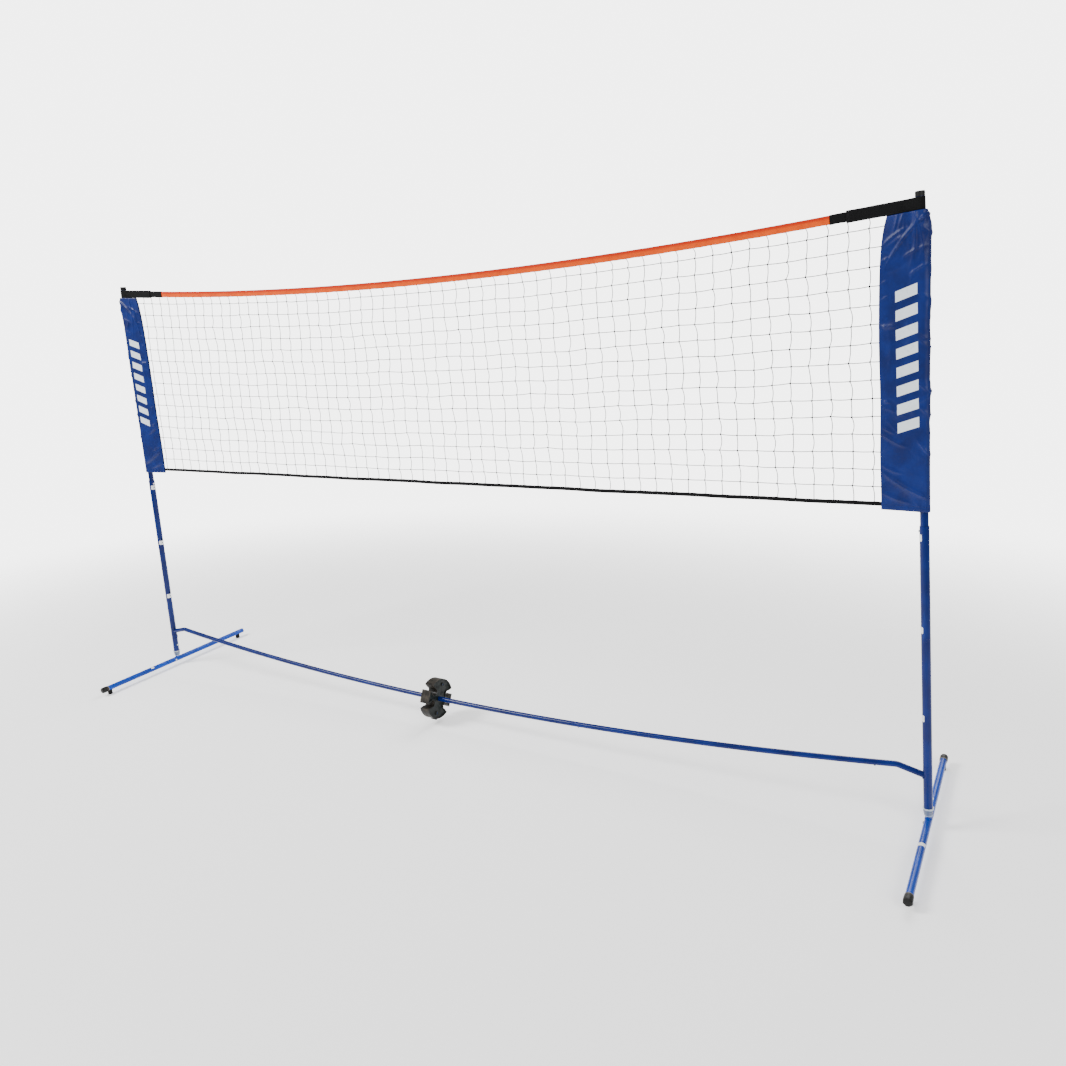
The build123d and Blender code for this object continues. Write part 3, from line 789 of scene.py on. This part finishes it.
def fold(height, cord_r, mouth, count):
    """Section of a folded tape, as (across, up): up one wall from the mouth, a half circle of
    cord_r over the cord, and down the other wall, each wall drawing in from the cord to the
    mouth."""
    turn = np.linspace(0, math.pi, 13)
    top = height / 2 - cord_r
    over_cord = np.stack([np.cos(turn) * cord_r, top + np.sin(turn) * cord_r], -1)
    rise = np.linspace(0, 1, 9)[:-1]
    widening = np.clip(rise * 1.5 - 0.5, 0, 1)
    drawn = mouth + (cord_r - mouth) * (0.5 - 0.5 * np.cos(math.pi * widening))
    wall = np.stack([drawn, -height / 2 + rise * height * (1 - cord_r / height)], -1)
    return even(np.concatenate([wall, over_cord, wall[::-1] * [-1, 1]]), count)


def ruffle(spots, waves, seed):
    """Sum of sines of a seeded phase and strength, one for each wave length, from -1 to 1."""
    dice = np.random.default_rng(seed)
    phase = dice.uniform(0, 2 * math.pi, len(waves))
    strength = dice.uniform(0.4, 1.0, len(waves))
    turns = 2 * math.pi * spots[..., None] / np.asarray(waves) + phase
    return (np.sin(turns) * strength).sum(-1) / strength.sum()


def folded_tape(start, end, height, cord_r, mouth, rows, seed):
    """Folded tape from start to end: its section carried along the tape's line. Where the seam
    puckers, the walls swell and the lower edge rises by ruffles of the length along the tape."""
    x = np.linspace(start, end, rows)
    path = np.stack([x, 0 * x, tape_z(x)], -1)
    section = fold(height, cord_r, mouth, 40)
    pucker = ruffle(x, (0.021, 0.034, 0.013, 0.052, 0.09), seed)[:, None]
    twist = ruffle(x, (0.16, 0.27, 0.41), seed + 1)[:, None]
    lower = np.clip(0.5 - section[:, 1] / height, 0, 1)
    across = section[:, 0] * (1 + 0.10 * pucker * np.sin(math.pi * lower)) + 0.0005 * twist * lower
    over = section[:, 1] + 0.0005 * pucker * lower**2
    outline = np.stack([across, over], -1)
    return carry(path, -y_way, z_way, outline)


class Cloth(Finish):
    """A finish whose pattern follows the map lay, metres along and across the cloth."""

    def lay(self):
        spot = self.add("ShaderNodeUVMap", {"uv_map": "lay"})
        return self.part(spot, "X"), self.part(spot, "Y")

    def weave(self, along, across, step):
        """Plain weave: the height of warp times the height of weft, each the size of a sine."""
        return abs(along.wave(2 * step)) * abs(across.wave(2 * step))

    def stitches(self, along, across, lines, pitch, gap=0.30, wide=0.0006):
        """Rows of stitches at the given distances across: a mask along each line, cut at every
        pitch."""
        turns = along / pitch
        dash = turns.math("FRACT", turns).step(gap * 0.6, gap)
        near = 1 - abs(across - lines[0]).step(wide * 0.6, wide)
        for line in lines[1:]:
            near = near + (1 - abs(across - line).step(wide * 0.6, wide))
        return near * dash


orange_finish = Cloth(
    "orange_woven_tape", specular_ior_level=0.12, sheen_weight=0.05, sheen_roughness=0.5
)
along, across = orange_finish.lay()
weave = orange_finish.weave(along, across, 0.00075)
tape_section = 0.0472
half_way = abs(across - tape_section / 2) / (tape_section / 2)
stitch = orange_finish.stitches(along, across, (0.0032, tape_section - 0.0032), 0.0036)
mottle = orange_finish.noise(38.0, 5.0)
grime = orange_finish.noise(220.0, 6.0).step(0.55, 0.85)
# Deeper red over the cord and brighter orange down the walls: painted shade on the tape's rounded
# top, with the walls painted lighter.
walls_painted_lit = half_way.step(0.30, 0.62)
warm = orange_finish.between(walls_painted_lit, (0.50, 0.020, 0.0), (0.74, 0.085, 0.0))
warm = orange_finish.between(mottle.step(0.35, 0.75) * 0.4, warm, (0.42, 0.018, 0.0005))
warm = orange_finish.between(grime * 0.18, warm, (0.22, 0.03, 0.004))
warm = orange_finish.between(stitch * 0.55, warm, (0.78, 0.13, 0.005))
orange_finish.drive(base_color=warm, roughness=0.62 + 0.2 * weave)
orange_finish.bump(0.5 * weave + 0.8 * stitch + 0.3 * mottle, 0.00016)


def thicken(piece, metres):
    """Gives a sheet its wall, evenly on both sides."""
    wall = piece.modifiers.new("wall", "SOLIDIFY")
    wall.thickness = metres
    wall.offset = 0.0
    return piece


tape_piece = thicken(
    surface("orange_tape", folded_tape(*tape_ends_x[1:3], 0.020, 0.0018, 0.0010, 900, 3)), 0.0004
)
finished(tape_piece, orange_finish, "net", "tape_orange", "top_tape")



def webbing(name, rib, lint_from, low, high, linted):
    """Black webbing: ribs across it and picks half as long, fuzz, and lint from that noise on. Also
    its colour, its roughness and its height, each as a socket."""
    finish = Cloth(name, specular_ior_level=0.1, sheen_weight=0.03, sheen_roughness=0.4)
    along, across = finish.lay()
    ribs = abs(across.wave(rib))
    picks = abs(along.wave(rib / 2))
    fuzz = finish.noise(800.0, 5.0)
    lint = finish.noise(150.0, 7.0).step(lint_from, 0.86)
    dark = finish.between(lint * 0.5, finish.between(ribs, low, high), linted)
    return finish, dark, 0.55 + 0.25 * fuzz, 0.7 * ribs * picks + 0.3 * fuzz


webbing_finish, dark, rough, raised = webbing(
    "black_webbing", 0.0032, 0.58, (0.0012, 0.0012, 0.0014), (0.0045, 0.0045, 0.005),
    (0.018, 0.018, 0.020),
)
webbing_finish.drive(base_color=dark, roughness=rough)
webbing_finish.bump(raised, 0.00025)
end_piece = thicken(
    surface(
        "black_tape_ends",
        folded_tape(tape_ends_x[0], tape_ends_x[1] + 0.0005, 0.022, 0.0019, 0.0011, 80, 8),
        folded_tape(tape_ends_x[2] - 0.0005, tape_ends_x[3], 0.022, 0.0019, 0.0011, 80, 9),
    ),
    0.0004,
)
finished(end_piece, webbing_finish, "net", "webbing_black", "tape_ends")

cord_finish = Cloth("braided_cord", specular_ior_level=0.3)
twisted = abs(cord_finish.noise(1100.0, 3.0, (0.4, 1, 1)) - 0.5) * 2
cord_finish.drive(
    base_color=cord_finish.between(twisted, (0.62, 0.62, 0.60), (0.80, 0.80, 0.78)),
    roughness=0.8 - 0.1 * twisted,
)
cord_finish.bump(twisted, 0.00015)
coat(cord_finish, "headline_cord")

# ---------------------------------------------------------------- bottom and side tapes
# The net's lower edge and ends are bound in narrow black tape folded over the last meshes
# and sewn. The lower one hangs free between the sleeves.
bottom_low, bottom_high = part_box("bottom_tape")
bottom_x = np.linspace(bottom_low[0], bottom_high[0], 700)
bottom_mid = (bottom_low[2] + bottom_high[2]) / 2
sway = 0.0012 * ruffle(bottom_x, (0.31, 0.52, 0.19, 0.9), 21)
bottom_path = np.stack([bottom_x, 0 * bottom_x, bottom_mid + sway], -1)
bottom_section = fold(0.010, 0.0011, 0.0009, 22) * [1, -1]
bottom_pucker = ruffle(bottom_x, (0.016, 0.027, 0.047), 22)[:, None]
bottom_outline = np.stack([
    bottom_section[:, 0] * (1 + 0.12 * bottom_pucker),
    bottom_section[:, 1] + 0.0004 * bottom_pucker * (bottom_section[:, 1] > 0),
], -1)
bottom_piece = thicken(
    surface("bottom_binding", carry(bottom_path, y_way, z_way, bottom_outline)),
    0.0003,
)
finished(bottom_piece, webbing_finish, "net", "webbing_black", "bottom_tape")

side_low, side_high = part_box("net_side_tapes")
side_tape_w = 0.014
net_inset = 0.055


def side_binding(side):
    """Folded tape up a net end: the fold's section turned on its side, carried up the sloping
    edge."""
    z = np.linspace(side_low[2] - 0.002, side_high[2] - 0.001, 90)
    x = side * (pole_x(z) - net_inset - side_tape_w / 2)
    section = fold(side_tape_w, 0.0012, 0.0009, 24)
    path = np.stack([x, 0 * z, z], -1)
    return carry(path, -side * y_way, side * x_way, section)


side_piece = thicken(surface("side_bindings", side_binding(-1), side_binding(1)), 0.0003)
finished(side_piece, webbing_finish, "net", "webbing_black", "net_side_tapes")

# ---------------------------------------------------------------- net
# Thin black braided twine is knotted into meshes 46 to 47 mm wide and 39 to 43 mm tall, with a
# lower row under the top tape. The knots are pulled out of line, and the twine bows between them.
columns = 58
rows = 16
twine_r = 0.0010
knot_r = 0.0019
top_gap_cut = 0.4
net_top_z = 1.46
net_top_drop = 0.0085
in_binding = side_tape_w * 0.7
net_low = bottom_mid
shares_x = np.linspace(-1, 1, columns + 1)[:, None]
shares_z = np.append(np.arange(rows) / (rows - top_gap_cut), 1)[None, :]
low_half = pole_x(net_low) - net_inset - in_binding
top_x = shares_x * (pole_x(net_top_z) - net_inset - in_binding)
top_z = tape_z(top_x) - net_top_drop
knot_x = shares_x * low_half + (top_x - shares_x * low_half) * shares_z
knot_z = net_low + (top_z - net_low) * shares_z
dice = np.random.default_rng(12)
inner = np.sin(math.pi * shares_z) ** 0.4 * (1 - abs(shares_x) ** 12)
slow = ruffle(knot_x + 0.31 * knot_z, (0.83, 0.61, 0.41), 31)
quick = ruffle(knot_z + 0.05 * knot_x, (0.155, 0.26), 32)
drift_x = 0.0019 * dice.normal(size=knot_x.shape) + 0.0075 * (slow * quick)
drift_x = drift_x + 0.011 * np.exp(-(((1 - shares_z) / 0.05 - 0.76) ** 2))
rise = ruffle(knot_x + 0.4 * knot_z, (0.42, 0.75, 0.25), 33)
drift_z = 0.0009 * dice.normal(size=knot_x.shape) + 0.003 * rise
knot_x = knot_x + drift_x * inner
knot_z = knot_z + drift_z * inner
knot_y = 0.0004 * dice.normal(size=knot_x.shape) * inner
knots = np.stack([knot_x, knot_y, knot_z], -1)


def strung(knot_lines, parts, sag, waver, slack, seed):
    """Twine through lines of knots: straight between knots, plus a parabola in each gap, nothing at
    the knots, of sag downwards, of slack along the net by a third to five thirds, and of a random
    waver."""
    start = knot_lines[:, :-1, None, :]
    end = knot_lines[:, 1:, None, :]
    share = (np.arange(parts) / parts)[None, None, :, None]
    bow = 4 * share * (1 - share)
    draws = np.random.default_rng(seed)
    lean_by = draws.normal(size=start.shape[:3])[..., None] * waver
    slack_by = slack * draws.uniform(0.35, 1.65, start.shape[:3])[..., None]
    across = np.array([0.6, 0.5, 0.4])
    line = start + (end - start) * share - bow * sag * z_way + bow * lean_by * across
    line = line + bow * slack_by * x_way
    line = line.reshape(len(knot_lines), -1, 3)
    return np.concatenate([line, knot_lines[:, -1:]], 1)


fifths = np.arange(5) * 0.4 * math.pi
circle = np.stack([np.cos(fifths), np.sin(fifths)], -1)
upright_lines = strung(knots[1:-1], 6, 0.0, 0.0009, 0.0026, 41)
level_lines = strung(knots[:, 1:-1].transpose(1, 0, 2), 4, 0.0007, 0.0007, 0.0, 42)
upright_twine = carry(upright_lines, x_way, y_way, circle * twine_r)
level_twine = carry(level_lines, y_way, z_way, circle * twine_r)


def knot_grid(centres, r):
    """Knots: low lumps, a circle whose radius over five rings goes up and down as a sine, their
    upper part shifted along the level twine."""
    rings = np.linspace(0.12, math.pi - 0.12, 5)[:, None]
    turn = (np.arange(6) * math.pi / 3)[None, :]
    lump = np.stack([
        1.15 * np.sin(rings) * np.cos(turn) + 0.25 * np.cos(rings),
        0.85 * np.sin(rings) * np.sin(turn),
        1.35 * np.cos(rings) + 0 * turn,
    ], -1)
    return centres.reshape(-1, 1, 1, 3) + r * lump[::-1]


twine_finish = Cloth("net_twine", specular_ior_level=0.1)
along, across = twine_finish.lay()
strands = (along + across * 0.8).wave(0.0016) * 0.5 + 0.5
grey = twine_finish.between(strands, (0.0006, 0.0006, 0.0008), (0.0030, 0.0030, 0.0034))
worn_twine = twine_finish.noise(30.0, 4.0).step(0.45, 0.8)
twine_finish.drive(
    base_color=twine_finish.between(worn_twine * 0.4, grey, (0.008, 0.008, 0.009)),
    roughness=0.72 + 0.15 * strands,
)
twine_finish.bump(strands, 0.0002)
twines = surface(
    "net_twines", upright_twine, level_twine, knot_grid(knots[1:-1, 1:-1], knot_r),
    ring=True, capped=True,
)
finished(twines, twine_finish, "net", "twine_black", "net_mesh")

# ---------------------------------------------------------------- sleeves
# Shiny blue polyester sleeves are sewn into flat pockets that slip over the upper tubes and
# take in the net's ends. They hang from the straps, pulled in there and slack below.
sleeve_low = 0.837
strap_at = (pole_x(1.526), 1.526)
strap_to = (1.244, 1.5146)
strap_slope = (strap_at[1] - strap_to[1]) / (strap_at[0] - strap_to[0])
strap_half_h = 0.0135


def hull(x_a, r_a, x_b, r_b, lip):
    """Section of a pocket round a large circle at x_a and a small one at x_b: the two circles and
    their common tangents, open at the small one between the angles -lip and lip."""
    tangent = math.acos((r_a - r_b) / (x_b - x_a))
    small = np.linspace(lip, tangent, 6)
    large = np.linspace(tangent, 2 * math.pi - tangent, 60)
    small_part = np.stack([x_b + r_b * np.cos(small), r_b * np.sin(small)], -1)
    large_part = np.stack([x_a + r_a * np.cos(large), r_a * np.sin(large)], -1)
    return np.concatenate([small_part, large_part, small_part[::-1] * [1, -1]])


def folds(u, v, starts, turns, lengths, widths, depths):
    """Sum of soft ridges. Each is its depth, over one plus the square of the distance across it
    over its width, times a bell of the distance along it over its length."""
    du = u[..., None] - starts[:, 0]
    dv = v[..., None] - starts[:, 1]
    run = du * np.cos(turns) + dv * np.sin(turns)
    off = dv * np.cos(turns) - du * np.sin(turns) + 0.10 * run**2 / lengths
    return (depths / (1 + (off / widths) ** 2) * np.exp(-((run / lengths) ** 4))).sum(-1)


def sleeve(side, seed, bulge):
    """Sleeve on a pole: the pocket's section carried up the pole to the strap's slanting edge, its
    inner edge swelling by a bell of the height, and its walls moved out and in by three sets of
    folds."""
    inward, across, upward = pole_axes(side)
    section = even(hull(-0.006, 0.0126, 0.085, 0.0023, math.radians(52)), 150)
    x = section[None, :, 0]
    y = section[None, :, 1]
    share = np.linspace(0, 1, 300)[:, None]
    top_z = strap_at[1] - strap_slope * x - strap_half_h - 0.0006
    low_s = (sleeve_low - pole_foot[2] + x * math.sin(lean)) / math.cos(lean)
    top_s = (top_z - pole_foot[2] + x * math.sin(lean)) / math.cos(lean)
    s = low_s + share * (top_s - low_s)
    gaps = np.linalg.norm(np.gradient(section, axis=0), axis=1)
    v = np.cumsum(gaps)[None, :] + 0 * s
    u = s - low_s
    span, tall = v.max(), u.max()
    dice = np.random.default_rng(seed)
    kinds = [
        # how many, height from and to, turn from and to in degrees, length, width, depth
        (20, 0.86, 1.02, -16, 16, 0.035, 0.085, 0.0022, 0.0042, 0.0007, 0.0020),
        (34, 0.05, 0.95, 35, 75, 0.020, 0.055, 0.0030, 0.0075, -0.0009, 0.0019),
        (30, 0.05, 0.95, -75, -35, 0.020, 0.055, 0.0030, 0.0075, -0.0009, 0.0019),
        (16, 0.10, 0.90, -12, 12, 0.040, 0.110, 0.0035, 0.0080, -0.0007, 0.0017),
        (90, 0.02, 0.98, -90, 90, 0.008, 0.022, 0.0012, 0.0026, -0.00035, 0.00055),
    ]
    out = 0
    for count, low, high, turn_low, turn_high, *spreads in kinds:
        starts = np.stack([dice.uniform(low, high, count) * tall, dice.uniform(0, span, count)], -1)
        turns = np.radians(dice.uniform(turn_low, turn_high, count))
        lengths, widths, depths = (
            dice.uniform(spreads[k], spreads[k + 1], count) for k in (0, 2, 4)
        )
        out = out + folds(u, v, starts, turns, lengths, widths, depths)
    # deep creases fall from the strap's pinch and from the foot of the sleeve: height above the
    # bottom, place from the pole to the inner edge, turn in degrees, length, width, depth
    creases = np.array([
        (tall - 0.052, 0.030, -42, 0.062, 0.0022, 0.0040),
        (tall - 0.028, 0.006, -50, 0.040, 0.0020, 0.0030),
        (tall - 0.050, 0.058, -58, 0.030, 0.0024, 0.0028),
        (tall - 0.085, 0.012, -66, 0.026, 0.0024, 0.0022),
        (tall - 0.020, -0.012, -24, 0.022, 0.0024, 0.0020),
        (tall - 0.045, -0.013, 42, 0.020, 0.0030, 0.0024),
        (tall - 0.016, 0.040, -20, 0.022, 0.0020, 0.0022),
        (tall - 0.125, 0.006, -58, 0.020, 0.0022, 0.0024),
        (tall - 0.100, 0.078, -62, 0.011, 0.0016, 0.0020),
        (tall - 0.150, 0.079, -60, 0.010, 0.0016, 0.0018),
        (tall - 0.185, 0.077, -58, 0.012, 0.0016, 0.0018),
        (0.058, 0.040, 58, 0.048, 0.0034, 0.0044),
        (0.030, 0.062, 66, 0.030, 0.0026, 0.0028),
        (0.170, 0.066, 56, 0.030, 0.0026, 0.0030),
        (0.195, 0.076, 54, 0.018, 0.0020, 0.0024),
        (0.100, 0.070, 62, 0.024, 0.0026, 0.0022),
        (0.260, 0.078, 70, 0.012, 0.0016, 0.0020),
        (0.430, 0.072, 84, 0.022, 0.0030, 0.0030),
        (0.290, -0.006, 54, 0.020, 0.0020, 0.0022),
        (0.235, -0.008, 50, 0.018, 0.0020, 0.0022),
        (0.390, -0.006, 48, 0.020, 0.0020, 0.0024),
        (0.405, -0.004, 62, 0.018, 0.0018, 0.0020),
        (0.150, -0.004, 40, 0.026, 0.0024, 0.0022),
    ])
    turns = np.radians(creases[:, 2])
    out = out + folds(u, x + 0 * s, creases[:, :2], turns, *creases[:, 3:].T)
    puff = np.sin(math.pi * np.clip((x + 0.006) / 0.091, 0, 1)) * np.sin(math.pi * share) ** 0.5
    out = out + 0.0016 * puff * (0.7 + 0.5 * np.sin(9 * u / tall + seed))
    from_lip = np.minimum(v, span - v)
    out = out * np.clip(from_lip / 0.014, 0.12, 1)
    hem = np.clip(1 - abs(u - 0.006) / 0.007, 0, 1) * 0.0003
    out = np.clip(out, -0.0009, 0.0055) + hem
    normal = np.stack([np.gradient(section[:, 1]), -np.gradient(section[:, 0])], -1) / gaps[:, None]
    bell = np.exp(-(((share - 0.68) / 0.24) ** 2)) * (1 - share**10)
    inner_share = np.clip(x / 0.087, 0, 1) ** 2
    outer_share = np.clip(-x / 0.0186, 0, 1) ** 2
    widening = 0.0095 * (1 - share) ** 1.3 + 0.0010 * np.sin(17 * share + seed) * (1 - share)
    below = (top_s - s).clip(0)
    gather = 0.018 * np.exp(-below / 0.055)
    nip = 0.009 * np.exp(-((below / 0.022) ** 2))
    moved_x = x + inner_share * (bulge * bell + widening - gather)
    moved_x = moved_x + outer_share * (0.0055 - 0.0095 * share**1.5 + nip)
    points_x = moved_x + out * normal[None, :, 0]
    points_y = y + out * normal[None, :, 1]
    foot = pole_foot * [side, 1, 1]
    points = foot + points_x[..., None] * inward + points_y[..., None] * across
    points = points + s[..., None] * upward
    seen = (y * across[1]) < 0
    mark = np.stack([np.where(seen, moved_x, 1.0), s], -1)
    return points, mark, span


sleeve_finish = Cloth(
    "blue_polyester", specular_ior_level=0.3, sheen_weight=0.03, sheen_roughness=0.3,
    sheen_tint=(0.25, 0.45, 1.0),
)
along, across = sleeve_finish.lay()
spot = sleeve_finish.add("ShaderNodeUVMap", {"uv_map": "print"})
mark_x = sleeve_finish.part(spot, "X")
mark_s = sleeve_finish.part(spot, "Y")
slanted = (mark_s + 0.30 * mark_x - 1.012) / 0.0425
bar_share = slanted.math("FRACT", slanted)
bars = bar_share.step(0.10, 0.125) * (1 - bar_share.step(0.66, 0.685))
bars = bars * slanted.step(0.0, 0.01) * (1 - slanted.step(7.98, 8.0))
bars = bars * mark_x.step(0.0060, 0.0068) * (1 - mark_x.step(0.0530, 0.0538))
threads = sleeve_finish.weave(along, across, 0.00035)
dyed = sleeve_finish.noise(24.0, 5.0)
rubbed = sleeve_finish.noise(130.0, 7.0).step(0.52, 0.85)
seam = sleeve_finish.stitches(across, along, (0.0125,), 0.0030, 0.3, 0.0005)
blue = sleeve_finish.between(dyed.step(0.3, 0.7), (0.0001, 0.0060, 0.078), (0.0002, 0.012, 0.125))
blue = sleeve_finish.between(rubbed * 0.22, blue, (0.003, 0.03, 0.20))
blue = sleeve_finish.between(seam * 0.6, blue, (0.0001, 0.0025, 0.035))
ink = sleeve_finish.between(rubbed, (0.72, 0.78, 0.84), (0.52, 0.61, 0.70))
sleeve_finish.drive(
    base_color=sleeve_finish.between(bars, blue, ink), roughness=0.36 + 0.12 * threads + 0.1 * bars
)
crinkle = sleeve_finish.noise(300.0, 4.0)
sleeve_finish.bump(0.25 * threads + seam + 0.5 * bars + 0.5 * crinkle, 0.00012)
for name, side, seed, bulge in (("left", -1, 5, 0.001), ("right", 1, 17, 0.002)):
    points, mark, span = sleeve(side, seed, bulge)
    piece = thicken(surface(f"{name}_pole_sleeve", points, extra={"print": mark}), 0.0005)
    finished(piece, sleeve_finish, f"{name}_upper", "sleeve_blue", f"{name}_sleeve")

# ---------------------------------------------------------------- straps
# A black webbing strap loops round the top of each pole, over the sleeve. Its two tails are
# sewn to each other through the end of the black tape.
strap_length = math.hypot(strap_at[0] - strap_to[0], strap_at[1] - strap_to[1])
strap_angle = math.atan(strap_slope)


def strap(side, seed):
    """Strap: a straight tail, the hull of the pole's circle and the pinch, and the tail back,
    carried over the strap's height. The tails' edges waver by a ruffle of the length."""
    inward = np.array([-side * math.cos(strap_angle), 0, -math.sin(strap_angle)])
    upward = np.array([-side * math.sin(strap_angle), 0, math.cos(strap_angle)])
    across = np.cross(upward, inward)
    loop = hull(0, 0.0108, 0.032, 0.0031, math.radians(75))[3:-3]
    tail = np.stack([np.linspace(strap_length, 0.036, 12), np.full(12, 0.0030)], -1)
    outline = even(np.concatenate([tail, loop, tail[::-1] * [1, -1]]), 260)
    run = np.linspace(0, 1, 260)[:, None]
    height = np.linspace(-strap_half_h, strap_half_h, 17)[None, :]
    wave = ruffle(run * 0.36, (0.05, 0.09, 0.13), seed)
    swell = 0.0004 * wave * np.clip(outline[:, :1] / 0.03, 0, 1) * np.sign(outline[:, 1:])
    x = outline[:, :1] + 0 * height
    y = outline[:, 1:] + np.clip(swell, -0.0003, 0.0003) + 0 * height
    z = height * (1 + 0.015 * wave) + 0 * run
    start = np.array([side * strap_at[0], 0, strap_at[1]])
    return start + x[..., None] * inward + y[..., None] * across + z[..., None] * upward


half_strap = 0.173
stitch_pitch = 0.0034
strap_finish, dark, rough, raised = webbing(
    "strap_webbing", 0.0036, 0.56, (0.0010, 0.0010, 0.0012), (0.0040, 0.0040, 0.0045),
    (0.016, 0.016, 0.018),
)
along, across = strap_finish.lay()
sewn = strap_finish.stitches(along, across, (0.0028, 0.0242), stitch_pitch)
tail_end = half_strap - abs(along - half_strap)
cross_sewn = strap_finish.stitches(across, tail_end, (0.004,), stitch_pitch)
cross_sewn = cross_sewn * across.step(0.0026, 0.003) * (1 - across.step(0.024, 0.0244))
sewn = sewn * (1 - tail_end.step(0.118, 0.120)) + cross_sewn
strap_finish.drive(
    base_color=strap_finish.between(sewn * 0.8, dark, (0.010, 0.010, 0.012)),
    roughness=rough - 0.15 * sewn,
)
strap_finish.bump(raised - 0.8 * sewn, 0.0003)
for name, side in sides.items():
    piece = thicken(surface(f"{name}_end_strap", strap(side, 50 + side)), 0.0013)
    finished(piece, strap_finish, f"{name}_upper", "webbing_black", f"{name}_strap")
